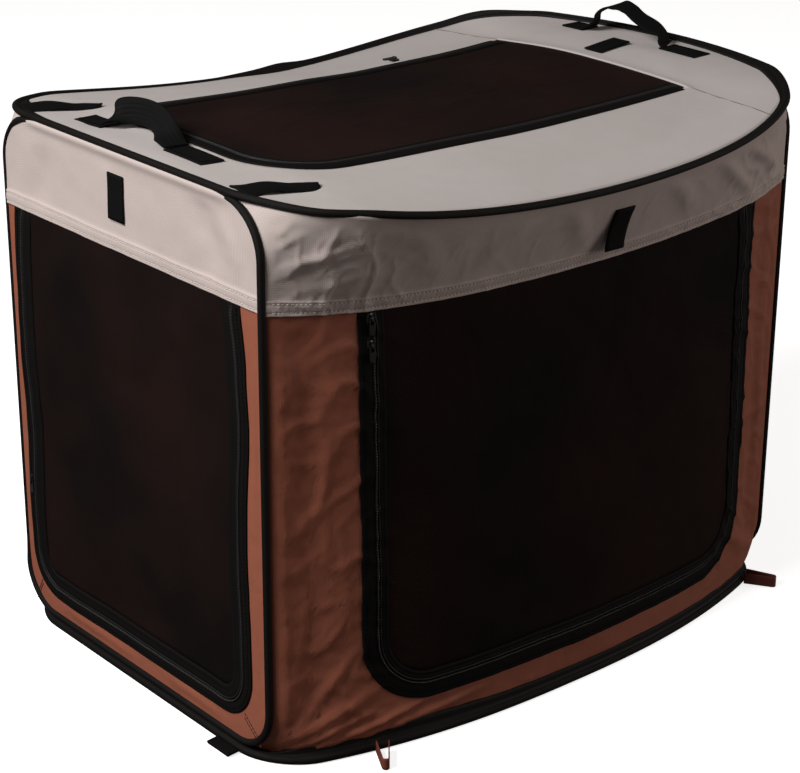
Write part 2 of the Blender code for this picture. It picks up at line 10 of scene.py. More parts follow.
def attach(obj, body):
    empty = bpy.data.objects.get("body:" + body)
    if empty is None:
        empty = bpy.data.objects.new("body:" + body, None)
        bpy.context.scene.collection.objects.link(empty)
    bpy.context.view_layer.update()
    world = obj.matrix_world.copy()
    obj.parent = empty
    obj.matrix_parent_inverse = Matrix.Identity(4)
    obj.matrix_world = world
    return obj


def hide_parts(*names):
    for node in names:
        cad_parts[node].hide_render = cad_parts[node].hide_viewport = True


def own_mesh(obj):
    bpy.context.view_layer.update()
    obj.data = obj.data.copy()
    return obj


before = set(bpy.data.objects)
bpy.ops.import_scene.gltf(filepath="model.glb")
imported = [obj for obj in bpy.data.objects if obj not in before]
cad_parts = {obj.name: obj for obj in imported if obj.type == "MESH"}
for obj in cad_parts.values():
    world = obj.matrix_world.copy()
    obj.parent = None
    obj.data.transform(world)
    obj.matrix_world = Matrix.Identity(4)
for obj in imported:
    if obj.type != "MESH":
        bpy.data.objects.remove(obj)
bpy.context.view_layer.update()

# the crate's own sizes, in metres
crate = {
    "halfLength": 0.320, "halfWidth": 0.200, "lowAxis": 0.0135, "highAxis": 0.519, "corner": 0.045,
    "rimRadius": 0.0045, "rimZ": 0.52775, "wallEnd": 0.3158,
    "baseBow": 0.053, "basePower": 2.45, "hemBow": 0.026, "topBow": 0.066, "topPower": 4.7,
    "topSag": 0.039, "topLean": 0.10, "topDip": 0.004, "endBulge": 0.042, "seamX": 0.2435,
    "hem": 0.432, "hemSag": 0.021, "endHem": 0.434, "cloth": 0.0012, "meshCloth": 0.0008,
}
sideDoor = {"left": -0.236, "right": 0.258, "bottom": 0.041, "radius": 0.070, "tape": 0.0155}
endDoor = {"left": -0.176, "right": 0.188, "bottom": 0.034, "radius": 0.045, "tape": 0.012}
window = {"left": -0.258, "right": 0.243, "half": 0.138, "radius": 0.075, "tape": 0.012}
sideSign = {"front": -1, "back": 1}
endSign = {"left": -1, "right": 1}
folding = {"joint": "left_end_fold", "axis": (0, 0, 1), "anchor": (0, 0, 0.012), "keep": 0.03}


# Colour and nodes

def fromHex(code):
    channels = [int(code[i:i + 2], 16) / 255 for i in (0, 2, 4)]
    return tuple(c / 12.92 if c <= 0.04045 else ((c + 0.055) / 1.055) ** 2.4 for c in channels) + (1,)


# a Mix node of colours has them at inputs 6 and 7, its share at input 0 and its result at output 2
def addNode(tree, kind, settings=None, links=None):
    node = tree.nodes.new("ShaderNode" + kind)
    for key, value in (settings or {}).items():
        if isinstance(key, str) and hasattr(node, key):
            setattr(node, key, value)
        else:
            node.inputs[key].default_value = value
    for key, source in (links or {}).items():
        tree.links.new(source, node.inputs[key])
    return node


def newMaterial(name, settings):
    material = bpy.data.materials.new(name)
    material.use_nodes = True
    shader = material.node_tree.nodes["Principled BSDF"]
    for key, value in settings.items():
        shader.inputs[key].default_value = value
    return material, material.node_tree, shader


waveLength = 0.314  # metres from one band to the next of a wave texture of scale 1
# noise scales are counts to the metre, so slubs come about every 24 mm and patches every 140 mm
mottle = {"slub": 42, "patch": 7, "slubShare": 0.55, "patchShare": 0.6, "offset": -0.05}


def wovenCloth(name, weave, settings):
    # threads both ways on the cloth's own UV map, over a soft crinkle; light and dark tones mix
    material, tree, shader = newMaterial(name, settings)
    cloth = addNode(tree, "UVMap", {"uv_map": "cloth"}).outputs["UV"]
    wave = {"Scale": waveLength / weave["spacing"], "Distortion": 0.3}
    warp, weft = (addNode(tree, "TexWave", {"bands_direction": way, **wave}, {"Vector": cloth}).outputs["Fac"]
                  for way in "XY")
    threads = addNode(tree, "Math", {"operation": "MAXIMUM"}, {0: warp, 1: weft}).outputs[0]
    place = addNode(tree, "TexCoord").outputs["Object"]
    slub = addNode(tree, "TexNoise", {"Scale": mottle["slub"], "Detail": 5, "Roughness": 0.6},
                   {"Vector": place})
    patch = addNode(tree, "TexNoise", {"Scale": mottle["patch"], "Detail": 2}, {"Vector": place})
    crinkle = addNode(tree, "TexNoise", {"Scale": weave["crinkle"], "Detail": 3, "Distortion": 0.6},
                      {"Vector": place})
    tone = addNode(tree, "Math", {"operation": "MULTIPLY_ADD", 1: mottle["slubShare"], 2: mottle["offset"]},
                   {0: slub.outputs["Fac"]})
    spread = addNode(tree, "Math", {"operation": "MULTIPLY_ADD", 1: mottle["patchShare"]},
                     {0: patch.outputs["Fac"], 2: tone.outputs[0]})
    base = addNode(tree, "Mix", {"data_type": "RGBA", 6: fromHex(weave["light"]), 7: fromHex(weave["dark"])},
                   {0: spread.outputs[0]})
    grain = addNode(tree, "Mix", {"data_type": "RGBA", "blend_type": "MULTIPLY", 0: weave["contrast"]},
                    {6: base.outputs[2], 7: threads})
    soft = addNode(tree, "Bump", {"Strength": weave["crinkleDepth"], "Distance": 0.002},
                   {"Height": crinkle.outputs["Fac"]})
    fine = addNode(tree, "Bump", {"Strength": weave["depth"], "Distance": 0.0004},
                   {"Height": threads, "Normal": soft.outputs[0]})
    tree.links.new(grain.outputs[2], shader.inputs["Base Color"])
    tree.links.new(fine.outputs[0], shader.inputs["Normal"])
    return material


# the netting's lighter tone is partly dust and partly painted light on the net's soft folds
netting = {"hole": 0.0016, "thick": 0.97, "thin": 0.78, "dark": "0e0807", "dustyFoldLit": "24130f"}


def meshFabric(name):
    # knitted polyester mesh: round holes in dark yarn, drawn a little coarse so that they show
    material, tree, shader = newMaterial(name, {"Roughness": 0.8, "Specular IOR Level": 0.12})
    cloth = addNode(tree, "UVMap", {"uv_map": "cloth"}).outputs["UV"]
    turned = addNode(tree, "Mapping", {"Rotation": (0, 0, math.radians(45))}, {"Vector": cloth}).outputs[0]
    across, up = (addNode(tree, "TexWave", {"bands_direction": way, "Scale": waveLength / netting["hole"]},
                          {"Vector": turned}).outputs["Fac"] for way in "XY")
    hole = addNode(tree, "Math", {"operation": "MULTIPLY"}, {0: across, 1: up}).outputs[0]
    cover = {"From Min": 0.1, "From Max": 0.6, "To Min": netting["thick"], "To Max": netting["thin"]}
    alpha = addNode(tree, "MapRange", cover, {"Value": hole})
    place = addNode(tree, "TexCoord").outputs["Object"]
    # lighter reddish patches at random: partly dust, partly painted light standing for the light caught in
    # the net's soft folds
    dustAndFoldLight = addNode(tree, "TexNoise", {"Scale": 4, "Detail": 3}, {"Vector": place})
    shade = addNode(tree, "MapRange", {"From Min": 0.35, "From Max": 0.65}, {"Value": dustAndFoldLight.outputs["Fac"]})
    yarn = {"data_type": "RGBA", 6: fromHex(netting["dark"]), 7: fromHex(netting["dustyFoldLit"])}
    base = addNode(tree, "Mix", yarn, {0: shade.outputs[0]})
    knit = addNode(tree, "Bump", {"Strength": 0.5, "Distance": 0.0004}, {"Height": hole})
    tree.links.new(base.outputs[2], shader.inputs["Base Color"])
    tree.links.new(alpha.outputs[0], shader.inputs["Alpha"])
    tree.links.new(knit.outputs[0], shader.inputs["Normal"])
    return material


def smoothFinish(name, tones, grain, settings):
    # a plain surface with worn, uneven tone and a fine grain, on the piece's own place
    material, tree, shader = newMaterial(name, settings)
    place = addNode(tree, "TexCoord").outputs["Object"]
    wear = addNode(tree, "TexNoise", {"Scale": grain["wear"], "Detail": 4}, {"Vector": place})
    fine = addNode(tree, "TexNoise", {"Scale": grain["fine"], "Detail": 2}, {"Vector": place})
    base = addNode(tree, "Mix", {"data_type": "RGBA", 6: fromHex(tones[0]), 7: fromHex(tones[1])},
                   {0: wear.outputs["Fac"]})
    bump = addNode(tree, "Bump", {"Strength": grain["depth"], "Distance": 0.0003},
                   {"Height": fine.outputs["Fac"]})
    tree.links.new(base.outputs[2], shader.inputs["Base Color"])
    tree.links.new(bump.outputs[0], shader.inputs["Normal"])
    return material


# Oxford polyester is a basket weave with a satin side light; its 0.6 mm threads are drawn at 1.3 mm to show
oxford = {"spacing": 0.0013, "contrast": 0.12, "depth": 0.38, "crinkle": 26, "crinkleDepth": 0.22}
satin = {"Roughness": 0.72, "Sheen Weight": 0.05, "Specular IOR Level": 0.3}
beige = wovenCloth("beige oxford polyester", {"light": "cebfb9", "dark": "bfafa8", **oxford}, satin)
# painted light: the top gets its own copy of the beige, made greyer and bluer so that it takes the top's
# colour under its light
topBeigePaintedLight = wovenCloth("beige oxford polyester painted greyer for the top", {"light": "cec6c3", "dark": "bfb5af", **oxford}, satin)
# dyed darker and pressed smoother, so that it shines a little more and creases more sharply
terracotta = wovenCloth("terracotta oxford polyester", {
    "light": "a6634f", "dark": "92553f", "spacing": 0.0013, "contrast": 0.14, "depth": 0.34,
    "crinkle": 44, "crinkleDepth": 0.5,
}, {"Roughness": 0.5, "Specular IOR Level": 0.2})
# polypropylene tape: ribbed, nearly black, a dull shine along its ribs
bindingTape = wovenCloth("black binding tape", {
    "light": "14110f", "dark": "0b0908", "spacing": 0.0011, "contrast": 0.35, "depth": 0.5,
    "crinkle": 60, "crinkleDepth": 0.15,
}, {"Roughness": 0.6, "Specular IOR Level": 0.18})
# thick nylon yarn, so its weave is coarse and takes the light least
webbing = wovenCloth("black nylon webbing", {
    "light": "0d0b0b", "dark": "060505", "spacing": 0.0016, "contrast": 0.5, "depth": 0.7,
    "crinkle": 50, "crinkleDepth": 0.1,
}, {"Roughness": 0.75, "Specular IOR Level": 0.14})
# thin woven polyester, flat black and duller than the binding, with its threads drawn at twice their size
zipTape = wovenCloth("black zip tape", {
    "light": "110e0d", "dark": "0a0807", "spacing": 0.0010, "contrast": 0.3, "depth": 0.4,
    "crinkle": 60, "crinkleDepth": 0.15,
}, {"Roughness": 0.72, "Specular IOR Level": 0.12})
# its coating fills the weave and gives it a low, even shine
floorCloth = wovenCloth("black coated floor cloth", {
    "light": "1c1a1a", "dark": "121111", "spacing": 0.0013, "contrast": 0.2, "depth": 0.3,
    "crinkle": 24, "crinkleDepth": 0.3,
}, {"Roughness": 0.6, "Specular IOR Level": 0.4})
# a close-woven polyester ribbon: a soft shine, and threads drawn at twice their size
ribbon = wovenCloth("reddish brown ribbon", {
    "light": "8d4a3c", "dark": "6d3429", "spacing": 0.0009, "contrast": 0.3, "depth": 0.4,
    "crinkle": 60, "crinkleDepth": 0.2,
}, {"Roughness": 0.45, "Specular IOR Level": 0.4})
blackMesh = meshFabric("black polyester mesh")
# nylon set in a mould: smooth and black, with a soft broad shine
coil = smoothFinish("moulded nylon zip coil", ("1a1919", "0f0e0e"), {"wear": 60, "fine": 900, "depth": 0.1},
                    {"Roughness": 0.5, "Specular IOR Level": 0.25})
# enamel baked on cast zinc: black, with small bright highlights under a clear coat
enamel = smoothFinish("black enamelled zinc", ("1d1d1e", "0f0f10"), {"wear": 90, "fine": 700, "depth": 0.06},
                      {"Roughness": 0.22, "Coat Weight": 0.8, "Coat Roughness": 0.12})
# drawn and tempered wire: bare grey metal with a dull shine
springSteel = smoothFinish("tempered spring steel", ("a9a9a6", "7d7c79"),
                           {"wear": 40, "fine": 800, "depth": 0.05}, {"Roughness": 0.32, "Metallic": 1.0})
# spun polyester sewing thread: matt, with a fine twist
twist = {"wear": 200, "fine": 1200, "depth": 0.3}
beigeThread = smoothFinish("beige polyester thread", ("dcd0c9", "c4b8b0"), twist, {"Roughness": 0.55})
brownThread = smoothFinish("brown polyester thread", ("5a3021", "41210f"), twist, {"Roughness": 0.6})
# the cross seam's thread is darker than the cloth and sewn almost end to end, so it is also painted shade
# along the seam's lap
seamThreadAndShade = smoothFinish("grey thread and painted shade in the cross seam", ("857b75", "6f6660"), twist, {"Roughness": 0.7})
# the zip's grey thread is lighter than its coil: a painted highlight standing for the light on the coil's
# teeth
coilHighlightThread = smoothFinish("grey coil thread painted as the teeth's highlight", ("514c49", "3a3634"), twist, {"Roughness": 0.6})
blackThread = smoothFinish("black polyester thread", ("0b0a0a", "060606"), twist,
                           {"Roughness": 0.8, "Specular IOR Level": 0.1})
print("materials made")


# The surfaces that the cloth lies on, as the frame was cut to

def cornerShare(distance):
    leftOver = 1 - min(max(distance / crate["corner"], 0), 1)
    return 1 - math.sqrt(1 - leftOver ** 2)


def along(x):
    return min(abs(x) / crate["halfLength"], 1)


def hemZ(x):
    return crate["hem"] - crate["hemSag"] * (1 - along(x) ** 2)


def droop(x):
    return (1 - along(x) ** 2) * (1 + crate["topLean"] * x / crate["halfLength"])


def rimHeight(x):
    return crate["rimZ"] - crate["topSag"] * droop(x)


def sideReach(x, z):
    low = crate["baseBow"] * (1 - along(x) ** crate["basePower"])
    middle = crate["hemBow"] * (1 - along(x) ** crate["topPower"])
    high = crate["topBow"] * (1 - along(x) ** crate["topPower"])
    hem = hemZ(x)
    if z < hem:
        bow = low + (middle - low) * max(z, 0) / hem
    else:
        bow = middle + (high - middle) * min((z - hem) / (rimHeight(x) - hem), 1)
    rounding = max(cornerShare(z - crate["lowAxis"]), cornerShare(crate["highAxis"] - z))
    return crate["halfWidth"] + bow - crate["corner"] * rounding * cornerShare(crate["wallEnd"] - abs(x))


def topReach(x):
    return crate["halfWidth"] + crate["topBow"] * (1 - along(x) ** crate["topPower"])


def topZ(x, y):
    across = min(abs(y) / topReach(x), 1)
    dip = crate["topDip"] + (crate["topSag"] - crate["topDip"]) * across ** 2
    return crate["rimZ"] - droop(x) * dip


def eased(share):
    # a smooth step from 0 to 1; a share is mostly a distance over the metres that the step takes
    share = min(max(share, 0), 1)
    return share * share * (3 - 2 * share)


def mound(distance, spread):
    return math.exp(-(distance / spread) ** 2)


def ripples(a, b, waves, seed):
    # waves are pairs of a height and a count to the metre
    return sum(height * noise.noise(Vector((a * count, b * count, seed))) for height, count in waves)


# how much lower than its even curve the slack top lies: at the left end, over the back and in its middle
slackTop = {
    "left": 0.0036, "leftFrom": -0.235, "back": 0.0030, "backFrom": -0.02, "backTo": 0.30, "backDeep": 0.22,
    "middle": 0.0034, "middleTo": 0.305,
}


def rimDrop(x, y):
    left = eased((slackTop["leftFrom"] - x) / 0.06)
    back = eased((x - slackTop["backFrom"]) / 0.08) * eased((slackTop["backTo"] - x) / 0.05)
    return slackTop["left"] * left + slackTop["back"] * back * eased(y / slackTop["backDeep"])


# Folds: from a point to a point, how wide each is, and how far it stands out (or in)

sideFolds = {
    "front": [
        (-0.3020, 0.405, -0.2930, 0.330, 0.0030, 0.0016), (-0.2980, 0.330, -0.3010, 0.240, 0.0034, 0.0018),
        (-0.2700, 0.395, -0.2520, 0.330, 0.0030, 0.0013), (-0.2640, 0.310, -0.2780, 0.235, 0.0034, 0.0015),
        (-0.2900, 0.245, -0.2740, 0.180, 0.0032, 0.0017), (-0.2840, 0.170, -0.2960, 0.100, 0.0040, 0.0018),
        (-0.2560, 0.230, -0.2480, 0.120, 0.0036, 0.0012), (-0.310, 0.026, -0.226, 0.060, 0.0052, 0.0040),
        (-0.304, 0.017, -0.232, 0.040, 0.0038, 0.0034), (-0.296, 0.040, -0.244, 0.104, 0.0050, 0.0028),
        (-0.270, 0.018, -0.180, 0.037, 0.0040, 0.0034), (-0.230, 0.018, -0.120, 0.031, 0.0040, 0.0026),
        (0.288, 0.400, 0.298, 0.110, 0.0090, 0.0034), (0.300, 0.030, 0.240, 0.075, 0.0080, 0.0035),
        (-0.316, 0.500, -0.294, 0.497, 0.0016, 0.0015), (-0.313, 0.485, -0.293, 0.496, 0.0022, 0.0022),
        (-0.310, 0.467, -0.258, 0.484, 0.0032, 0.0026), (-0.300, 0.458, -0.240, 0.474, 0.0036, -0.0010),
        (-0.290, 0.447, -0.235, 0.455, 0.0040, 0.0015), (-0.254, 0.438, -0.205, 0.462, 0.0040, 0.0016),
        (-0.246, 0.452, -0.236, 0.490, 0.0060, 0.0008), (-0.200, 0.486, -0.160, 0.440, 0.0110, 0.0020),
        (-0.120, 0.440, -0.070, 0.480, 0.0110, 0.0024), (-0.030, 0.480, 0.010, 0.430, 0.0100, 0.0020),
        (0.095, 0.482, 0.150, 0.440, 0.0090, 0.0026), (0.170, 0.484, 0.245, 0.434, 0.0070, 0.0042),
        (0.205, 0.494, 0.285, 0.452, 0.0055, 0.0040), (0.262, 0.442, 0.302, 0.486, 0.0055, 0.0028),
    ],
    "back": [
        (-0.296, 0.400, -0.298, 0.080, 0.011, 0.0038), (-0.304, 0.020, -0.236, 0.088, 0.008, 0.0042),
        (0.294, 0.430, 0.298, 0.080, 0.010, 0.0045), (0.304, 0.022, 0.252, 0.092, 0.008, 0.0042),
        (0.296, 0.014, 0.214, 0.048, 0.006, 0.0042), (-0.292, 0.492, -0.220, 0.446, 0.008, 0.0040),
        (0.210, 0.446, 0.286, 0.496, 0.008, 0.0045), (0.060, 0.496, 0.120, 0.444, 0.011, 0.0030),
        (-0.120, 0.452, -0.060, 0.498, 0.012, 0.0028),
    ],
}
endFolds = {
    "left": [
        (-0.118, 0.506, -0.136, 0.448, 0.013, -0.0034), (-0.150, 0.500, -0.172, 0.460, 0.009, 0.0020),
        (0.120, 0.500, 0.150, 0.446, 0.014, -0.0022), (-0.189, 0.400, -0.188, 0.140, 0.006, 0.0020),
        (0.010, 0.024, 0.120, 0.026, 0.006, 0.0015), (-0.130, 0.024, -0.040, 0.026, 0.006, 0.0015),
    ],
    "right": [
        (0.120, 0.506, 0.138, 0.446, 0.013, -0.0032), (-0.130, 0.498, -0.150, 0.448, 0.012, -0.0026),
        (0.192, 0.400, 0.193, 0.140, 0.005, 0.0020), (-0.100, 0.024, 0.020, 0.026, 0.006, 0.0015),
    ],
}
topFolds = [
    (-0.300, 0.080, -0.255, 0.130, 0.012, -0.0010), (-0.295, -0.120, -0.200, -0.165, 0.014, 0.0010),
    (0.262, -0.110, 0.300, -0.040, 0.012, 0.0008), (0.090, -0.200, 0.200, -0.170, 0.014, 0.0009),
]


foldShape = {"runOut": 0.35, "bend": 0.35, "bends": 3}  # each as a share of the fold's length or width
creases = ((0.0011, 5, 26, 0), (0.0005, 4, 61, 7))  # height, sharpness, count to the metre, step of the seed


def foldHeight(a, b, folds, seed):
    total = 0.0
    runOut = foldShape["runOut"]
    for fromA, fromB, toA, toB, width, height in folds:
        runA, runB = toA - fromA, toB - fromB
        length = math.hypot(runA, runB)
        share = ((a - fromA) * runA + (b - fromB) * runB) / length ** 2
        if -runOut < share < 1 + runOut:
            aside = ((a - fromA) * runB - (b - fromB) * runA) / length
            if abs(aside) < 3 * width:
                wander = noise.noise(Vector((share * foldShape["bends"], length * 40, seed)))
                fade = max(0, 1 - ((share - 0.5) / (0.5 + runOut)) ** 2) ** 2
                total += height * mound(aside + foldShape["bend"] * width * wander, width) * fade
    return total


def crumples(a, b, seed, strength):
    # sharp little creases where noise crosses zero
    total = 0.0
    for height, sharpness, count, step in creases:
        near = abs(ripples(a, b, ((sharpness, count),), seed + step))
        total += height * max(0, 1 - near) ** 1.5
    return strength * total


# how the long sides' cloth lies off its even curve; a ridge is its height, its place along X and its spread
sideLie = {
    "waves": ((0.0016, 11), (0.0006, 37)), "seeds": {"front": 3.0, "back": 9.0},
    "swell": (0.0035, 0.255, 0.028), "flank": ((0.0016, 0.3075, 0.0045), (-0.0030, 0.283, 0.015)),
    "crumpled": 0.4, "cornerCrumpled": 1.3, "cornerFrom": 0.17,
}
# the same for the ends, and how each door's upright edges wander: height, spread, shift along Y
endLie = {
    "waves": ((0.0014, 12), (0.0005, 41)), "seeds": {"left": 15.0, "right": 21.0},
    "drift": {
        "left": [(0.430, 0.030, 0.005), (0.318, 0.045, -0.0035), (0.205, 0.055, 0.003)],
        "right": [(0.400, 0.050, -0.004), (0.250, 0.060, 0.004), (0.120, 0.050, -0.003)],
    },
    "backShare": -0.6,  # the back edge wanders less, and the other way
}
topLie = {"waves": ((0.0009, 9),), "seed": 27.0, "seam": 0.0008, "seamSpread": 0.0014}


def ridge(x, facts):
    height, at, spread = facts
    return height * mound(abs(x) - at, spread)


def flank(x, z):
    # the terracotta cloth is drawn straight from the corner to the zip, and stands up beside the piping
    under = eased((hemZ(x) - 0.006 - z) / 0.03) * eased((z - 0.03) / 0.03)
    return under * sum(ridge(x, facts) for facts in sideLie["flank"])


def sideAt(side, x, z, lift=0.0):
    # a point on the outer face of the long side's cloth, lift metres out of it
    seed = sideLie["seeds"][side]
    lift += ridge(x, sideLie["swell"]) * eased((z - hemZ(x)) / 0.05)
    slack = ripples(x, z, sideLie["waves"], seed) + foldHeight(x, z, sideFolds[side], seed) + flank(x, z)
    corner = sideLie["cornerCrumpled"] * eased((abs(x) - sideLie["cornerFrom"]) / 0.08)
    slack += crumples(x, z, seed, sideLie["crumpled"] + corner)
    free = eased((crate["wallEnd"] - abs(x)) / 0.012) * eased((z - 0.010) / 0.012)
    free *= eased((rimHeight(x) - 0.008 - z) / 0.014)
    reach = sideReach(x, z) + crate["cloth"] / 2 + lift + slack * free
    return Vector((x, sideSign[side] * reach, z))


def endAt(end, y, z, lift=0.0):
    # the same for an end; the door's edges drift in the plane, and the hoop's edge stays
    seed = endLie["seeds"][end]
    fromEdge = min(crate["halfWidth"] - abs(y), z - crate["lowAxis"])
    loose = eased((fromEdge - 0.004) / 0.014) * eased((abs(y) - 0.04) / 0.07)
    loose *= 1 if y < 0 else endLie["backShare"]
    drift = sum(shift * mound(z - height, spread) for height, spread, shift in endLie["drift"][end])
    slack = ripples(y, z, endLie["waves"], seed) + foldHeight(y, z, endFolds[end], seed)
    free = eased((fromEdge - 0.003) / 0.012) * eased((crate["highAxis"] - 0.006 - z) / 0.014)
    x = endSign[end] * (crate["halfLength"] + crate["cloth"] / 2 + lift + slack * free)
    return Vector((x, y + drift * loose, z))


def beforeBulge(x, y):
    # where a point of the top lay before the right end was pushed out round
    centre = crate["halfLength"] - crate["corner"]
    push = crate["endBulge"] * (1 - min(abs(y) / crate["halfWidth"], 1) ** 2) / crate["corner"]
    return (x + push * centre) / (1 + push) if x > centre else x


def topAt(x, y, lift=0.0):
    seed = topLie["seed"]
    slack = ripples(x, y, topLie["waves"], seed) + foldHeight(x, y, topFolds, seed)
    slack += topLie["seam"] * mound(x - crate["seamX"], topLie["seamSpread"])
    fromRim = topReach(x) - abs(y)
    middle = slackTop["middle"] * eased((slackTop["middleTo"] - abs(x)) / 0.06) * eased(fromRim / 0.09)
    free = eased((fromRim - 0.006) / 0.02) * eased((crate["halfLength"] - abs(x) + 0.010) / 0.03)
    flatX = beforeBulge(x, y)
    height = topZ(flatX, y) - rimDrop(flatX, y) - middle
    return Vector((x, y, height + crate["cloth"] / 2 + lift + slack * free))


# Outlines

def steps(start, end, count):
    return [start + (end - start) * i / count for i in range(count + 1)]


def between(a, b, share):
    return a[0] + (b[0] - a[0]) * share, a[1] + (b[1] - a[1]) * share


def uPath(left, right, bottom, radius, top, counts, square=False):
    # down the left side, round the bottom and up the right side
    side, corner, floor = counts

    def bend(x, z, start):
        turned = []
        for turn in steps(start, start + math.pi / 2, corner)[1:]:
            a, b = math.cos(turn), math.sin(turn)
            reach = radius / max(abs(a), abs(b)) if square else radius
            turned.append((x + reach * a, z + reach * b))
        return turned

    points = [(left, z) for z in steps(top(left), bottom + radius, side)]
    points += bend(left + radius, bottom + radius, math.pi)
    points += [(x, bottom) for x in steps(left + radius, right - radius, floor)[1:]]
    points += bend(right - radius, bottom + radius, 1.5 * math.pi)
    points += [(right, z) for z in steps(bottom + radius, top(right), side)[1:]]
    return points


def doorPath(door, inset, top, counts):
    return uPath(door["left"] + inset, door["right"] - inset, door["bottom"] + inset,
                 door["radius"] - inset, top, counts)


def windowPath(inset, counts, end=None):
    half = window["half"] - inset
    end = window["right"] if end is None else end
    u = uPath(-half, half, window["left"] + inset, window["radius"] - inset, lambda y: end, counts)
    return [(x, y) for y, x in u]


def roundedBottom(a, left, right, bottom, radius):
    fromSide = min(a - left, right - a)
    if fromSide >= radius:
        return bottom
    return bottom + radius - math.sqrt(max(radius ** 2 - (radius - fromSide) ** 2, 0))


def stations(left, right, radius, corner, middle):
    bends = [radius * (1 - math.cos(turn)) for turn in steps(0, math.pi / 2, corner)]
    inner = steps(left + radius, right - radius, middle)[1:-1]
    return [left + b for b in bends] + inner + [right - b for b in reversed(bends)]


def hoopRoute(bow, power, bulge, height, inset=0.0, corner=12, side=60, end=14):
    # anticlockwise line of the base or top hoop, as the frame's own hoops run
    radius = crate["corner"] - inset
    centreX, centreY = crate["halfLength"] - crate["corner"], crate["halfWidth"] - crate["corner"]
    quarter = [(centreX + radius * math.cos(t), centreY + radius * math.sin(t))
               for t in steps(0, math.pi / 2, corner)]
    straight = [(x, crate["halfWidth"] - inset) for x in steps(centreX, -centreX, side)[1:-1]]
    back = quarter + straight + [(-x, y) for x, y in reversed(quarter)]
    left = [(-crate["halfLength"] + inset, y) for y in steps(centreY, -centreY, end)[1:-1]]
    right = [(crate["halfLength"] - inset, y) for y in steps(-centreY, centreY, end)[1:-1]]
    route = []
    for x, y in back + left + [(x, -y) for x, y in reversed(back)] + right:
        share = min(abs(y) / crate["halfWidth"], 1)
        grown = y + math.copysign(bow * (1 - along(x) ** power) * share, y)
        pushed = x + bulge * (1 - share ** 2) * max(0, (x - centreX) / crate["corner"])
        route.append(Vector((pushed, grown, height(x))))
    return route


def endRoute(end, corner=12, straight=40):
    # anticlockwise outline of an end hoop, with its straight runs divided evenly
    radius = crate["corner"]
    centreY = crate["halfWidth"] - radius
    low, high = crate["lowAxis"] + radius, crate["highAxis"] - radius
    bends = []
    for turn, y, z in ((0, centreY, high), (1, -centreY, high), (2, -centreY, low), (3, centreY, low)):
        bends.append([(y + radius * math.cos(t), z + radius * math.sin(t))
                      for t in steps(turn * math.pi / 2, (turn + 1) * math.pi / 2, corner)])
    route = []
    for bend, ahead in zip(bends, bends[1:] + bends[:1]):
        route += bend + [between(bend[-1], ahead[0], t) for t in steps(0, 1, straight)[1:-1]]
    return [Vector((endSign[end] * crate["halfLength"], y, z)) for y, z in route]


topHoop = partial(hoopRoute, crate["topBow"], crate["topPower"], crate["endBulge"], rimHeight)
baseHoop = partial(hoopRoute, crate["baseBow"], crate["basePower"], 0)


# Making a piece

mergeGap = 1e-6


def layGrid(columns, rows, place, size):
    # place takes a column and a row number; the UV map is in metres of cloth
    mesh = bmesh.new()
    bmesh.ops.create_grid(mesh, x_segments=columns, y_segments=rows, size=0.5)
    cloth = mesh.loops.layers.uv.new("cloth")
    for face in mesh.faces:
        for loop in face.loops:
            loop[cloth].uv = ((loop.vert.co.x + 0.5) * size[0], (loop.vert.co.y + 0.5) * size[1])
    for vertex in mesh.verts:
        vertex.co = place(round((vertex.co.x + 0.5) * columns), round((vertex.co.y + 0.5) * rows))
    return mesh


def faceOut(mesh, out=None):
    mesh.normal_update()
    if out is None:
        agree = mesh.calc_volume(signed=True)
    else:
        agree = sum(face.normal.dot(out) * face.calc_area() for face in mesh.faces)
    if agree < 0:
        bmesh.ops.reverse_faces(mesh, faces=mesh.faces[:])


def dress(name, mesh, material, body, nodes=(), thickness=0.0, folds=False):
    data = bpy.data.meshes.new(name)
    mesh.to_mesh(data)
    mesh.free()
    data.shade_smooth()
    data.materials.append(material)
    piece = bpy.data.objects.new(name, data)
    bpy.context.scene.collection.objects.link(piece)
    if thickness:
        wall = piece.modifiers.new("cloth thickness", "SOLIDIFY")
        wall.thickness = thickness
        wall.offset = -1
    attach(piece, body)
    if nodes:
        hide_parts(*nodes)
    if folds:
        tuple(folding["axis"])
        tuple(folding["anchor"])
        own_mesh(piece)
    return piece


def clothArea(piece):
    return sum(face.area for face in piece.data.polygons)


def declareSheet(piece, width):
    # measures the piece's cloth area; neither it nor the width is used further
    area = clothArea(piece)


def stripMesh(paths, place, lifts, out):
    # a strip whose rows are paths with equal counts, each row lifted off the cloth
    columns, rows = len(paths[0]) - 1, len(paths) - 1
    length = sum(math.dist(a, b) for a, b in zip(paths[0], paths[0][1:]))
    width = math.dist(paths[0][0], paths[-1][0])
    mesh = layGrid(columns, rows, lambda i, j: place(*paths[j][i], lifts[j]), (length, width))
    faceOut(mesh, out)
    return mesh


def tubeMesh(columns, ring, place, size, loop=False):
    # a skin whose rows close round it; a loop closes end to end too, and an open tube gets its caps
    mesh = layGrid(columns, ring, lambda i, j: place(i % columns if loop else i, j % ring), size)
    bmesh.ops.remove_doubles(mesh, verts=mesh.verts[:], dist=mergeGap)
    if not loop:
        bmesh.ops.holes_fill(mesh, edges=[e for e in mesh.edges if e.is_boundary], sides=0)
    faceOut(mesh)
    return mesh


strapSection = {"flat": 0.55, "high": 0.92}  # its flat middle, as shares of the width and the edge's height


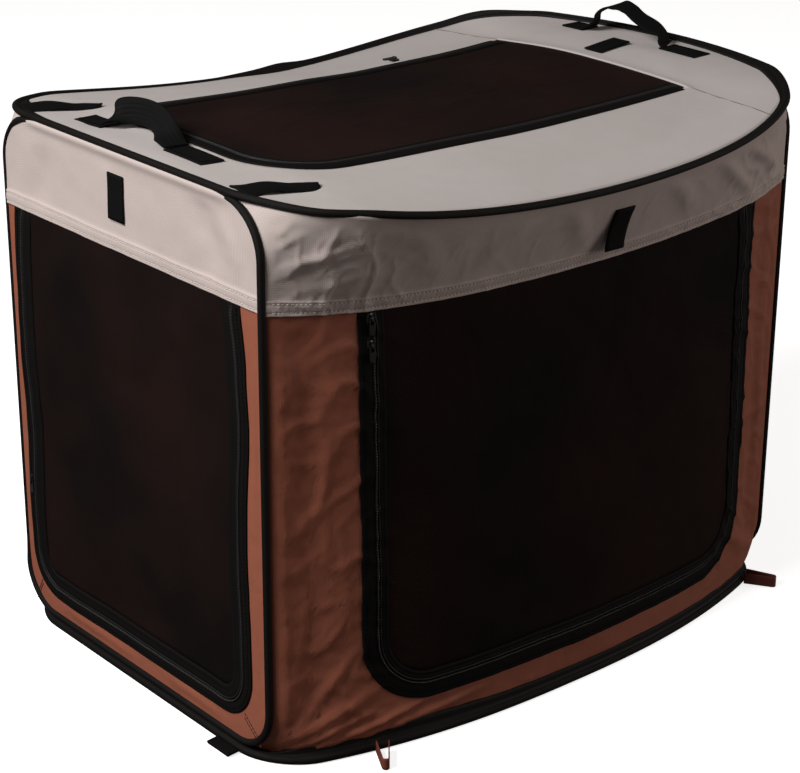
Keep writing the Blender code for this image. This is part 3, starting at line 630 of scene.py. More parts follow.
def strapMesh(centres, acrosses, width, thick):
    # flat webbing with rounded edges along its centres; acrosses point across its width
    half, bulge = width / 2, thick / 2
    flat, high = half * strapSection["flat"], bulge * strapSection["high"]
    upper = [(-half, 0), (-half + bulge, bulge), (-flat, high),
             (flat, high), (half - bulge, bulge), (half, 0)]
    ring = upper + [(a, -b) for a, b in reversed(upper[1:-1])]
    frames = []
    for i, centre in enumerate(centres):
        run = (centres[min(i + 1, len(centres) - 1)] - centres[max(i - 1, 0)]).normalized()
        across = (acrosses[i] - run * acrosses[i].dot(run)).normalized()
        frames.append((centre, across, run.cross(across)))
    length = sum((b - a).length for a, b in zip(centres, centres[1:]))

    def place(i, j):
        centre, across, up = frames[i]
        return centre + across * ring[j][0] + up * ring[j][1]

    return tubeMesh(len(centres) - 1, len(ring), place, (length, 2 * width))


hemStitch = {"pitch": 0.0040, "length": 0.0027, "wide": 0.0007, "high": 0.0007}
webStitch = {"pitch": 0.0036, "length": 0.0028, "wide": 0.0006, "high": 0.0006}
# the cross seam's stitches nearly touch, so the row draws as one dark line of painted shade
seamStitchAndShade = {"pitch": 0.0032, "length": 0.0031, "wide": 0.0008, "high": 0.0006}
# short grey bars along the coil's crest, as a painted highlight of its teeth
coilHighlightStitch = {"pitch": 0.0027, "length": 0.0013, "wide": 0.0006, "high": 0.0004}


def addStitches(mesh, line, outs, thread):
    # short thread bars laid end to end along a line of points, lying in the cloth
    pitch = thread["pitch"]
    travelled = 0.0
    due = pitch / 2
    for a, b, out in zip(line, line[1:], outs):
        span = (b - a).length
        while span > 1e-7 and travelled + span >= due:
            middle = a.lerp(b, (due - travelled) / span)
            run = (b - a).normalized()
            across = run.cross(out).normalized()
            turn = Matrix((run, across, across.cross(run) * -1)).transposed().to_4x4()
            size = Matrix.Diagonal((thread["length"], thread["wide"], thread["high"], 1))
            bmesh.ops.create_cube(mesh, size=1, matrix=Matrix.Translation(middle) @ turn @ size)
            due += pitch
        travelled += span


def stitchPiece(name, runs, material, body, folds=False, thread=hemStitch):
    # runs are (points, outward directions) of each row of stitching
    mesh = bmesh.new()
    for line, outs in runs:
        addStitches(mesh, line, outs, thread)
    bmesh.ops.recalc_face_normals(mesh, faces=mesh.faces[:])
    faceOut(mesh)
    return dress(name, mesh, material, body, folds=folds)


def runOn(place, points, out, lift=0.0001):
    return [place(a, b, lift) for a, b in points], [out] * len(points)


# The camera stands where the photograph was taken from

camera = {"location": (-1.32063, -1.56600, 1.04365), "azimuth": -40.0512, "elevation": 21.7928,
          "roll": 0.3258, "lens": 99.35, "sensor": 36.0}


def placeCamera():
    a, e, r = (math.radians(camera[key]) for key in ("azimuth", "elevation", "roll"))
    back = Vector((math.sin(a) * math.cos(e), -math.cos(a) * math.cos(e), math.sin(e)))
    right = Vector((0, 0, 1)).cross(back).normalized()
    up = back.cross(right)
    columns = (right * math.cos(r) + up * math.sin(r), up * math.cos(r) - right * math.sin(r), back)
    data = bpy.data.cameras.new("camera")
    data.lens, data.sensor_width = camera["lens"], camera["sensor"]
    eye = bpy.data.objects.new("camera", data)
    eye.matrix_world = Matrix.Translation(camera["location"]) @ Matrix(columns).transposed().to_4x4()
    bpy.context.scene.collection.objects.link(eye)
    bpy.context.scene.camera = eye


# Soft light: one large panel high on the left, a weak one for the far side, and a dim room

lights = {
    "key": {"at": (-2.00, 0.05, 1.98), "size": 1.2, "watts": 70, "colour": "ffffff"},
    "fill": {"at": (2.30, -1.95, 0.95), "size": 1.6, "watts": 21, "colour": "fff4ef"},
    "target": (0, 0, 0.27), "room": 0.075, "roomColour": "f4ece8",
    "floor": "ffffff", "floorGlow": 0.80, "floorReach": 9, "floorZ": -0.0002,
}


def placeLights():
    target = Vector(lights["target"])
    for name in ("key", "fill"):
        facts = lights[name]
        data = bpy.data.lights.new(name, "AREA")
        data.shape, data.size, data.energy = "DISK", facts["size"], facts["watts"]
        data.color = fromHex(facts["colour"])[:3]
        lamp = bpy.data.objects.new(name, data)
        aim = (target - Vector(facts["at"])).to_track_quat("-Z", "Y")
        lamp.matrix_world = Matrix.Translation(facts["at"]) @ aim.to_matrix().to_4x4()
        bpy.context.scene.collection.objects.link(lamp)
    world = bpy.data.worlds.new("studio")
    world.use_nodes = True
    sky = world.node_tree.nodes["Background"]
    sky.inputs["Color"].default_value = fromHex(lights["roomColour"])
    sky.inputs["Strength"].default_value = lights["room"]
    bpy.context.scene.world = world


def placeFloor():
    mesh = bmesh.new()
    bmesh.ops.create_grid(mesh, x_segments=1, y_segments=1, size=lights["floorReach"])
    data = bpy.data.meshes.new("floor")
    mesh.to_mesh(data)
    mesh.free()
    floor = bpy.data.objects.new("floor", data)
    floor.location.z = lights["floorZ"]
    bpy.context.scene.collection.objects.link(floor)
    # a matt white sweep that glows a little, so that it stays pale under the soft light
    material, tree, shader = newMaterial("pale studio floor", {
        "Base Color": fromHex(lights["floor"]), "Roughness": 0.9, "Specular IOR Level": 0.1,
        "Emission Color": (1, 1, 1, 1), "Emission Strength": lights["floorGlow"]})
    data.materials.append(material)
    floor.visible_diffuse = False
    floor.visible_glossy = False


placeCamera()
placeLights()
placeFloor()
bpy.context.scene.view_settings.view_transform = "Standard"
print("camera, lights and floor placed")


# Walls: a terracotta surround, a beige band over its upper edge, and a zipped mesh door

hemPiece = {  # the band's lower hem: it laps the wall, and its ribs lie between two rows of stitching
    "rows": 15, "lap": 0.003, "under": 0.005, "lift": 0.0017, "depth": 0.0125, "stitches": (0.0026, 0.0105),
    "pull": 0.0006, "pullSpread": 0.0011, "rib": 0.0058, "ribHeight": 0.00022, "ribSpread": 0.0055,
}
zipBorder = {  # across the tape, from the opening's edge: how far in, and how far it stands off the cloth
    "fixed": [(-0.0010, 0.0008), (0.0000, 0.0016), (0.0020, 0.0017), (0.0035, 0.0012), (0.0050, 0.0016),
              (0.0090, 0.0015), (0.0125, 0.0012), (0.0150, 0.0010), (0.0158, -0.0014), (0.0178, -0.0016)],
    "door": [(0.0163, 0.0010), (0.0175, 0.0014), (0.0190, 0.0016), (0.0205, 0.0015), (0.0215, 0.0009),
             (0.0225, 0.0015), (0.0240, 0.0013), (0.0255, 0.0005)],
    "thick": 0.0011, "lap": 0.003, "seam": 0.0035, "seamLift": 0.0014,
    "coilPitch": 0.0021, "coilWide": 0.0024, "coilHigh": 0.0017, "coilBase": 0.0006, "coilInset": 0.0022,
}
sidePiece = {
    "opening": sideDoor, "folds": True, "mitred": False, "steps": (84, 26, 96), "wallRows": 22,
    "edge": 0.3182,  # the cloth's upright edges, sewn into the end hoops' tapes
    "foot": 2 * crate["rimRadius"], "corner": crate["corner"], "square": True, "rimGap": 0.0020,
    "bandColumns": 440, "bandRows": 40, "bandSize": (2 * crate["wallEnd"], 0.09),
    "hemSteps": (crate["wallEnd"] - 0.003, 320), "bindingWide": 1.0, "coilRuns": (0.325, 0.085, 0.350),
    "netInset": 0.0243, "netGrid": (100, 70), "netSway": 0.0035, "cuts": (1.45, 2 * crate["wallEnd"], 0.41),
}
endInset = 0.0018
endReach = crate["halfWidth"] - endInset
endPiece = {
    "opening": endDoor, "folds": False, "mitred": True, "steps": (70, 18, 70), "wallRows": 12,
    "edge": endReach, "foot": crate["lowAxis"] + endInset, "corner": crate["corner"] - endInset,
    "square": False, "bandColumns": 250, "bandRows": 40, "bandSize": (2 * endReach, 0.085),
    "hemSteps": (endReach - 0.004, 220), "bindingWide": 1.5, "coilRuns": (0.356, 0.062, 0.274),
    "netInset": 0.0252, "netGrid": (70, 70), "netSway": 0.0060, "cuts": (1.25, 2 * endReach, 0.286),
}
overHoop = {"high": 0.0050, "width": 0.172, "taper": 0.036, "lift": 0.0032, "spread": 0.0048}
mitre = {"gap": 0.0024, "fromDoor": 0.012, "fromEdge": 0.010, "high": 0.042, "low": 0.022}


def hemShape(a, above):
    # how far a hem stands out at this height over its edge
    past = above - hemPiece["depth"]
    stand = hemPiece["lift"] * (1 - 0.8 * eased(past / 0.0016)) * (1 - eased(past / 0.02))
    stitches = hemPiece["stitches"]
    pulled = hemPiece["pull"] * sum(mound(above - row, hemPiece["pullSpread"]) for row in stitches)
    phase = a / hemPiece["rib"] + 0.8 * noise.noise(Vector((a * 40, 5.0, 0.0)))
    strength = hemPiece["ribHeight"] * (0.3 + 1.6 * abs(noise.noise(Vector((a * 9, 2.0, 0.0)))))
    inside = math.exp(-((above - sum(stitches) / 2) / hemPiece["ribSpread"]) ** 4)
    return stand - pulled + strength * math.sin(2 * math.pi * phase) * inside


def bandHeight(j, rows, low, high):
    # the first rows lie close together in the hem
    hemRows, depth = hemPiece["rows"], hemPiece["depth"] + 0.002
    if j <= hemRows:
        return low + depth * j / hemRows
    return low + depth + (high - low - depth) * (j - hemRows) / (rows - hemRows)


def tucked(place, hem):
    # tapes and coils lie flatter where they run up under the band
    def under(a, b, lift=0.0):
        return place(a, b, lift * (0.18 + 0.82 * eased((hem(a) - 0.004 - b) / 0.012)))
    return under


def surroundPiece(wall):
    rows, edge, counts = wall["wallRows"], wall["edge"], wall["steps"]
    inner = doorPath(wall["opening"], zipBorder["lap"], wall["top"], counts)
    outer = uPath(-edge, edge, wall["foot"], wall["corner"], wall["top"], counts, wall["square"])
    paths = [[between(a, b, j / rows) for a, b in zip(inner, outer)] for j in range(rows + 1)]
    mesh = stripMesh(paths, wall["place"], [0.0] * len(paths), wall["out"])
    return dress(wall["name"] + "_wall_cloth", mesh, terracotta, wall["body"], [wall["panel"]],
                 crate["cloth"], wall["folds"])


def bandPiece(wall):
    across, rows = wall["across"], wall["bandRows"]

    def lay(i, j):
        a = across[i]
        low = wall["hem"](a) - hemPiece["lap"]
        b = bandHeight(j, rows, low, wall["bandTop"](a))
        return wall["place"](a, b, hemShape(a, b - low) + wall["bandLift"](a, b))

    mesh = layGrid(len(across) - 1, rows, lay, wall["bandSize"])
    faceOut(mesh, wall["out"])
    return dress(wall["name"] + "_band_cloth", mesh, beige, wall["body"], [wall["name"] + "_band"],
                 crate["cloth"], wall["folds"])


def nettingPiece(wall):
    opening, inset, top = wall["opening"], wall["netInset"], wall["top"]
    left, right, bottom = opening["left"] + inset, opening["right"] - inset, opening["bottom"] + inset
    radius = opening["radius"] - inset
    columns, rows = wall["netGrid"]
    across = stations(left, right, radius, 8, columns)

    def lay(i, j):
        a = across[i]
        low = roundedBottom(a, left, right, bottom, radius)
        b = low + (top(a) - low) * j / rows
        edge = min(a - left, right - a, b - bottom, top(a) - b)
        sway = ripples(a, b, ((1, 7),), 33.0) + ripples(a, b, ((0.4, 19),), 3.0)
        return wall["place"](a, b, wall["netSway"] * sway * eased(edge / 0.03))

    mesh = layGrid(len(across) - 1, rows, lay, (right - left, top(0) - bottom))
    faceOut(mesh, wall["out"])
    return dress(wall["door"] + "_netting", mesh, blackMesh, wall["door"],
                 [wall["door"] + "_mesh"], crate["meshCloth"], wall["folds"])


def coilHalf(name, paths, place, out, body, folds):
    # one half of the zip: a nylon coil, ribbed at its pitch, on the tape's edge
    outer, inner = paths
    ring = [(0.0, 0.1), (0.08, 0.75), (0.4, 1.0), (0.75, 0.85), (1.0, 0.25), (0.7, -0.15), (0.3, -0.15)]

    def lay(i, j):
        share, rise = ring[j]
        rib = (1.0, 0.55, 0.25, 0.55)[i % 4]
        reach = share * (0.72 + 0.28 * rib)
        a, b = between(outer[i], inner[i], reach)
        return place(a, b, zipBorder["coilBase"] + zipBorder["coilHigh"] * rise * (0.62 + 0.38 * rib))

    mesh = tubeMesh(len(outer) - 1, len(ring), lay, (1.0, 0.006))
    return dress(name, mesh, coil, body, folds=folds)


def zipChain(name, path, place, out, bodies, start, folds, lengths):
    # both halves, with a tooth every pitch along each run of the outline, and a grey thread down the coil
    # that is a painted highlight of its teeth
    pitch, wide = zipBorder["coilPitch"] / 4, zipBorder["coilWide"]
    counts = tuple(4 * round(length / pitch / 4) for length in lengths)
    middle = path(start + wide, counts)
    coilHalf(name + "_fixed_coil", (path(start, counts), middle), place, out, bodies[0], folds)
    coilHalf(name + "_door_coil", (path(start + 2 * wide, counts), middle), place, out, bodies[1], folds)
    run = runOn(place, path(start + 0.45 * wide, counts), out, zipBorder["coilHigh"] + zipBorder["coilBase"])
    stitchPiece(name + "_coil_highlight_thread", [run], coilHighlightThread, bodies[0], folds, coilHighlightStitch)


def zipBorders(name, path, place, out, bodies, nodes, shift, wide, folds, counts):
    # the tape sewn to the crate, and the door's own tape with the binding that holds its mesh; shift makes
    # the first narrower, and wide makes the second wider
    first = zipBorder["door"][0][0]
    fixed = [(inset - shift if inset > 0.006 else inset, lift) for inset, lift in zipBorder["fixed"]]
    door = [(first - shift + (inset - first) * wide, lift) for inset, lift in zipBorder["door"]]
    pieces = []
    for part, label, body, node in zip((fixed, door), ("_zip_tape_cloth", "_border_cloth"), bodies, nodes):
        insets, lifts = zip(*part)
        strip = stripMesh([path(inset, counts) for inset in insets], place, lifts, out)
        pieces.append(dress(name + label, strip, zipTape, body, [node], zipBorder["thick"], folds))
    return pieces


def hemStitching(wall):
    reach, count = wall["hemSteps"]
    rows = []
    for height in hemPiece["stitches"]:
        line = [wall["place"](a, wall["hem"](a) - hemPiece["lap"] + height, hemShape(a, height) + 0.0001)
                for a in steps(-reach, reach, count)]
        rows.append((line, [wall["out"]] * len(line)))
    return stitchPiece(wall["name"] + "_hem_stitching", rows, beigeThread, wall["body"],
                       wall["folds"])


def tapeStitching(wall):
    # one row round the zip's tape, up to just under the hem
    line = doorPath(wall["opening"], zipBorder["seam"], lambda a: wall["hem"](a) - 0.006, wall["steps"])
    run = runOn(wall["place"], line, wall["out"], zipBorder["seamLift"])
    return stitchPiece(wall["name"] + "_tape_stitching", [run], blackThread, wall["body"],
                       wall["folds"])


def mitreStitching(wall):
    # two rows from each lower corner of the door out to the panel's corner
    rows = []
    for sign, near in ((-1, endDoor["left"] + mitre["fromDoor"]), (1, endDoor["right"] - mitre["fromDoor"])):
        far = sign * (wall["edge"] - mitre["fromEdge"])
        line = [between((near, mitre["high"]), (far, mitre["low"]), t) for t in steps(0, 1, 14)]
        for gap in (-mitre["gap"], mitre["gap"]):
            rows.append(runOn(wall["place"], [(y, z + gap) for y, z in line], wall["out"], 0.0003))
    return stitchPiece(wall["name"] + "_mitre_stitching", rows, brownThread, wall["body"],
                       thread=webStitch)


def dressWall(wall):
    name, opening, out, folds = wall["name"], wall["opening"], wall["out"], wall["folds"]
    bodies = (wall["body"], wall["door"])
    nodes = (name + "_zip_tape", wall["door"] + "_zip_edge")
    shift, start = sideDoor["tape"] - opening["tape"], opening["tape"] - zipBorder["coilInset"]
    wall["top"] = lambda a: wall["hem"](a) + hemPiece["under"]

    def path(inset, counts):
        return doorPath(opening, inset, wall["top"], counts)

    surround, band = surroundPiece(wall), bandPiece(wall)
    under = tucked(wall["place"], wall["hem"])
    tape, border = zipBorders(name, path, under, out, bodies, nodes, shift, wall["bindingWide"], folds,
                              wall["steps"])
    zipChain(name, path, under, out, bodies, start, folds, wall["coilRuns"])
    net = nettingPiece(wall)
    sewn = hemStitching(wall)
    trims = [tape, tapeStitching(wall)]
    if wall["mitred"]:
        trims.append(mitreStitching(wall))
    surroundCut, bandCut, netCut = wall["cuts"]
    declareSheet(surround, surroundCut)
    declareSheet(band, bandCut)
    declareSheet(net, netCut)
    print(name, "wall dressed")


def sideWall(side):
    edge = sidePiece["edge"]
    return dict(
        sidePiece, name=side, body="base", door=side + "_door", panel=side + "_wall_panel",
        place=partial(sideAt, side), out=Vector((0, sideSign[side], 0)), hem=hemZ,
        across=steps(-edge, edge, sidePiece["bandColumns"]), bandLift=lambda x, z: 0.0,
        bandTop=lambda x: rimHeight(x) - sidePiece["rimGap"], wallRest=side + "_band_cloth",
        bandRest="top_rim_tape")


def overTheHoop(end, y):
    # 1 where the left end's band is drawn up over its hoop to the rim, and 0 where the hoop's tape shows
    return eased((overHoop["width"] - abs(y)) / overHoop["taper"]) if end == "left" else 0.0


def endWall(end):
    body, edge, radius = end + "_end", endPiece["edge"], endPiece["corner"]

    def bandTop(y):
        high = crate["highAxis"] - endInset - roundedBottom(y, -edge, edge, 0, radius)
        return high + overHoop["high"] * overTheHoop(end, y)

    def bandLift(y, z):
        above = z - crate["highAxis"] - 0.0005
        return overHoop["lift"] * mound(above, overHoop["spread"]) * overTheHoop(end, y)

    return dict(
        endPiece, name=body, body=body, door=end + "_door", panel=body + "_panel", place=partial(endAt, end),
        out=Vector((endSign[end], 0, 0)), hem=lambda y: crate["endHem"], bandTop=bandTop, bandLift=bandLift,
        across=stations(-edge, edge, radius, 16, endPiece["bandColumns"]), wallRest=body + "_rim_tape",
        bandRest=body + "_rim_tape")


for side in sideSign:
    dressWall(sideWall(side))
for end in endSign:
    dressWall(endWall(end))


# Rim tapes: each hoop's wire runs in a folded tape whose tails grip the cloth

rimTape = {
    "radius": 0.0034, "thick": 0.0009, "wire": 0.0013, "tail": 0.0016, "backTail": 0.007,
    "backRise": 1.05, "ruckRise": 0.9, "ruckAt": 0.05, "ruckSpread": 0.022,
    "endTail": 0.0060, "endSpread": 0.9, "behind": 0.12, "standFrom": -0.035, "standTo": 0.33,
    "widerFrom": 0.262, "flareFrom": 0.275, "flareTo": 0.14, "backTailTo": -0.275,
}
skirt = {"rise": 0.0088, "bump": 0.0045, "bumpAt": -0.19, "bumpSpread": 0.09}
endTape = {
    "radius": 0.0035, "thin": 0.0022, "covered": 0.0017, "ahead": 0.008,
    "thinFrom": (0.17, 0.05), "coveredFrom": 0.4,
}
tapeHalf = crate["cloth"] / 2 + rimTape["thick"]
upward = Vector((0, 0, 1))


def routeFrames(route, up):
    # at each point of a closed route, the direction out of the loop in its own plane
    count = len(route)
    outs = []
    for i in range(count):
        run = (route[(i + 1) % count] - route[i - 1]).normalized()
        outs.append(run.cross(up).normalized())
    centre = sum(route, Vector()) / count
    if sum(out.dot(point - centre) for out, point in zip(outs, route)) < 0:
        outs = [-out for out in outs]
    return outs


def tapePiece(name, route, up, profileAt, body, node, material=bindingTape):
    outs = routeFrames(route, up)

    def place(i, j):
        a, b = profileAt(i)[j]
        return route[i] + outs[i] * a + up * b

    length = sum((b - a).length for a, b in zip(route, route[1:]))
    mesh = tubeMesh(len(route), len(profileAt(0)), place, (length, 0.04), loop=True)
    return dress(name, mesh, material, body, [node])


def arc(radius, start, end, count):
    return [(radius * math.cos(math.radians(t)), radius * math.sin(math.radians(t)))
            for t in steps(start, end, count)]


def topTape():
    route = topHoop()
    for point in route:
        point.z -= rimDrop(point.x, point.y)
    radius = rimTape["radius"]

    def profile(i):
        # the back run stands up on its edge, with one ruck in it; the tail widens at the right end
        x, y = route[i].x, route[i].y
        behind = eased((y - rimTape["behind"]) / 0.08)
        stand = rimTape["backRise"] * eased((x - rimTape["standFrom"]) / 0.07)
        stand *= eased((rimTape["standTo"] - x) / 0.04)
        stand += rimTape["ruckRise"] * mound(x - rimTape["ruckAt"], rimTape["ruckSpread"])
        widened = eased((x - rimTape["widerFrom"]) / 0.07)
        flare = eased((x - rimTape["flareFrom"]) / 0.06) * eased((rimTape["flareTo"] - y) / 0.12)
        outward = 1 + rimTape["endSpread"] * flare
        tail = rimTape["tail"] + rimTape["endTail"] * widened
        tail += rimTape["backTail"] * eased((rimTape["backTailTo"] - x) / 0.02) * behind
        rise = 1 + stand * behind
        around = [(a * outward if a > 0 else a, b * rise if b > 0 else b)
                  for a, b in arc(radius, 158, -158, 18)]
        up = tapeHalf * (1 + 0.9 * widened)
        return around + [(-radius - tail * 0.5, -up * 0.7), (-radius - tail, -up * 0.6),
                         (-radius - tail, up * 0.75), (-radius - tail * 0.5, up)]

    tapePiece("top_rim_tape", route, upward, profile, "top", "top_rim_binding")
    wire = arc(rimTape["wire"], 180, -135, 7)
    tapePiece("top_rim_wire", route, upward, lambda i: wire, "top", "top_wire_hoop", springSteel)


def baseTape():
    radius = crate["rimRadius"]
    route = baseHoop(lambda x: radius)

    def profile(i):
        # a skirt stands up from the tape along the long sides
        x, y = route[i].x, route[i].y
        free = eased((crate["halfLength"] - 0.004 - abs(x)) / 0.03) * eased((abs(y) - 0.14) / 0.03)
        rise = (skirt["rise"] + mound(x - skirt["bumpAt"], skirt["bumpSpread"]) * skirt["bump"]) * free
        upper = [(-tapeHalf, radius * 0.9), (-tapeHalf, radius + rise * 0.6),
                 (-tapeHalf * 0.8, radius + rise)]
        upper += [(-a, b) for a, b in reversed(upper)]
        inner = [(-radius * 0.5, -radius * 0.97), (-radius - 0.004, -radius * 0.95),
                 (-radius - 0.0045, -radius * 0.6), (-radius * 0.93, -radius * 0.2)]
        return arc(radius, 62, -90, 9) + inner + arc(radius, 170, 118, 3) + upper

    tapePiece("base_rim_tape", route, upward, profile, "base", "base_rim_binding")


def endTapePiece(end):
    route = endRoute(end)

    def profile(i):
        # drawn thin up the back, and thinner still where the band covers it
        y, z = route[i].y, route[i].z
        thinY, thinZ = endTape["thinFrom"]
        back = eased((y - thinY) / 0.02) * eased((z - thinZ) / 0.03)
        covered = overTheHoop(end, abs(y) - endTape["ahead"]) * eased((z - endTape["coveredFrom"]) / 0.05)
        radius = endTape["radius"] + (endTape["thin"] - endTape["radius"]) * back
        return arc(radius + (endTape["covered"] - radius) * covered, 180, -160, 17)

    tapePiece(end + "_end_rim_tape", route, Vector((endSign[end], 0, 0)), profile, end + "_end",
              end + "_end_rim_binding")


topTape()
baseTape()
for end in endSign:
    endTapePiece(end)
print("rim tapes swept")


# Top: a beige surround with a zipped mesh window, sewn across by one seam

topPiece = {
    "inset": 0.0024, "finer": 7, "rows": 16, "right": window["right"] - 0.0020, "lap": 0.0016,
    "lapDepth": 0.014, "zipSteps": (96, 26, 36), "bindingWide": 0.8, "coilRuns": (0.40, 0.115, 0.106),
    "netHalf": window["half"] - 0.0190, "netInset": 0.0190, "netGrid": (60, 90), "sag": 0.0030,
    "seam": 0.0030, "seamReach": 0.245, "cut": 1.9,
}


def topSurround():
    finer, rows, right, half = topPiece["finer"], topPiece["rows"], topPiece["right"], window["half"]
    outer = [(p.x, p.y) for p in topHoop(topPiece["inset"], 5 * finer, 10 * finer, 5 * finer)]
    inner = [(right, y) for y in steps(half * 0.6, half, 5 * finer)[:-1]]
    inner += windowPath(0.002, (10 * finer, 5 * finer, 5 * finer), right)[::-1]
    inner += [(right, y) for y in steps(-half, half * 0.6, 10 * finer)[1:-1]]
    count = len(outer)

    def lay(i, j):
        # at the seam the cloth laps over the window's end
        x, y = between(inner[i % count], outer[i % count], j / rows)
        over = eased((x - right + 0.001) / 0.001) * (1 - eased((x - right) / topPiece["lapDepth"]))
        return topAt(x, y, topPiece["lap"] * over * eased((half + 0.006 - abs(y)) / 0.01))

    mesh = layGrid(count, rows, lay, (topPiece["cut"], 0.1))
    bmesh.ops.remove_doubles(mesh, verts=mesh.verts[:], dist=mergeGap)
    cloth = mesh.loops.layers.uv["cloth"]
    for face in mesh.faces:
        for loop in face.loops:
            loop[cloth].uv = (loop.vert.co.x, loop.vert.co.y)
    faceOut(mesh, upward)
    # the top cloth wears the beige copy whose greyer tone is painted light
    return dress("top_cloth", mesh, topBeigePaintedLight, "top", ["top_panel"], crate["cloth"])


def topNetting():
    half, right, radius = topPiece["netHalf"], topPiece["right"], window["radius"] - topPiece["netInset"]
    left = window["left"] + topPiece["netInset"]
    columns, rows = topPiece["netGrid"]
    across = stations(-half, half, radius, 8, columns)

    def lay(i, j):
        y = across[i]
        low = roundedBottom(y, -half, half, left, radius)
        x = low + (right + 0.0015 - low) * j / rows
        edge = min(half - abs(y), x - left)
        sag = topPiece["sag"] * (noise.noise(Vector((x * 7, y * 12, 41.0))) - 1)
        sag += crumples(x * 0.5, y, 43.0, 1.1)
        return topAt(x, y, sag * eased(edge / 0.04) * eased((right - x) / 0.03))

    mesh = layGrid(len(across) - 1, rows, lay, (2 * half, right - left))
    faceOut(mesh, upward)
    return dress("top_flap_netting", mesh, blackMesh, "top_flap", ["top_flap_mesh"],
                 crate["meshCloth"])


def dressTop():
    def under(x, y, lift=0.0):
        # the zip lies flatter where it runs in under the seam's lap
        return topAt(x, y, lift * (0.15 + 0.85 * eased((topPiece["right"] - 0.001 - x) / 0.008)))

    panel = topSurround()
    bodies = ("top", "top_flap")
    tape, border = zipBorders("top", windowPath, under, upward, bodies, ["top_zip_tape", "top_flap_zip_edge"],
                              sideDoor["tape"] - window["tape"], topPiece["bindingWide"], False,
                              topPiece["zipSteps"])
    zipChain("top", windowPath, under, upward, bodies, window["tape"] - zipBorder["coilInset"], False,
             topPiece["coilRuns"])
    net = topNetting()
    seam = [(crate["seamX"] + topPiece["seam"], y)
            for y in steps(-topPiece["seamReach"], topPiece["seamReach"], 200)]
    # the seam's stitch row is both thread and painted shade for the groove where the right piece laps the top
    stitches = stitchPiece("cross_seam_stitching", [runOn(topAt, seam, upward, 0.0002)], seamThreadAndShade, "top",
                           thread=seamStitchAndShade)
    declareSheet(panel, topPiece["cut"])
    declareSheet(net, 2 * topPiece["netHalf"])


dressTop()
print("top dressed")


# Floor: coated cloth laid in the base hoop

floorPiece = {"inset": 0.0036, "rows": 60, "lift": 0.0015, "ripple": 0.0012, "thick": 0.0014, "cut": 0.63}


def dressFloor():
    route = baseHoop(lambda x: 0, floorPiece["inset"])
    half, rows = len(route) // 2, floorPiece["rows"]
    front, back = route[half:], route[:half][::-1]

    def lay(i, j):
        point = front[i].lerp(back[i], j / rows)
        edge = min(crate["halfLength"] - abs(point.x), abs(abs(point.y) - sideReach(point.x, 0)))
        ripple = floorPiece["ripple"] * max(0.5 + ripples(point.x, point.y, ((1, 8),), 51.0), 0)
        return Vector((point.x, point.y, floorPiece["lift"] + ripple * eased(edge / 0.04)))

    mesh = layGrid(half - 1, rows, lay, (0.64, 0.5))
    faceOut(mesh, upward)
    panel = dress("floor_cloth", mesh, floorCloth, "base", ["floor_panel"],
                  floorPiece["thick"])
    declareSheet(panel, floorPiece["cut"])


dressFloor()
print("floor laid")


# Webbing: ties, handles, corner straps, stake loops and the corner tab

strap = {"width": 0.025, "thick": 0.0018, "laid": 0.0014, "gap": 0.0003}
ties = {
    "length": 0.042, "narrower": 0.0006,
    "left": {"at": (0.009, 0.5015), "curl": 0.0006}, "right": {"at": (0.009, 0.5015), "curl": 0.0006},
    "front": {"at": (0.043, 0.4635), "curl": 0.009}, "back": {"at": (0.043, 0.4635), "curl": 0.001},
    "top": {"at": (0.2595, 0.011), "curl": 0.0008},
}


def tiePiece(name, place, down, across, clear, folds=False):
    # a tab sewn along its upper edge, which hangs and curls a little
    (startA, startB), curl = ties[name]["at"], ties[name]["curl"]
    centres = []
    for t in steps(0, 1, 14):
        run = ties["length"] * t
        centres.append(place(startA + down[0] * run, startB + down[1] * run,
                             clear + strap["thick"] / 2 + curl * t ** 2))
    mesh = strapMesh(centres, [across] * len(centres), strap["width"] - ties["narrower"], strap["thick"])
    dress(name + "_tie_webbing", mesh, webbing, name + "_tie", [name + "_tie"], folds=folds)


for side in sideSign:
    tiePiece(side, partial(sideAt, side), (0, -1), Vector((1, 0, 0)), strap["gap"], True)
for end in endSign:
    tiePiece(end, partial(endAt, end), (0, -1), Vector((0, 1, 0)), strap["gap"])
tiePiece("top", topAt, (1, 0), Vector((0, 1, 0)), strap["laid"] - 0.0004)
print("ties sewn")

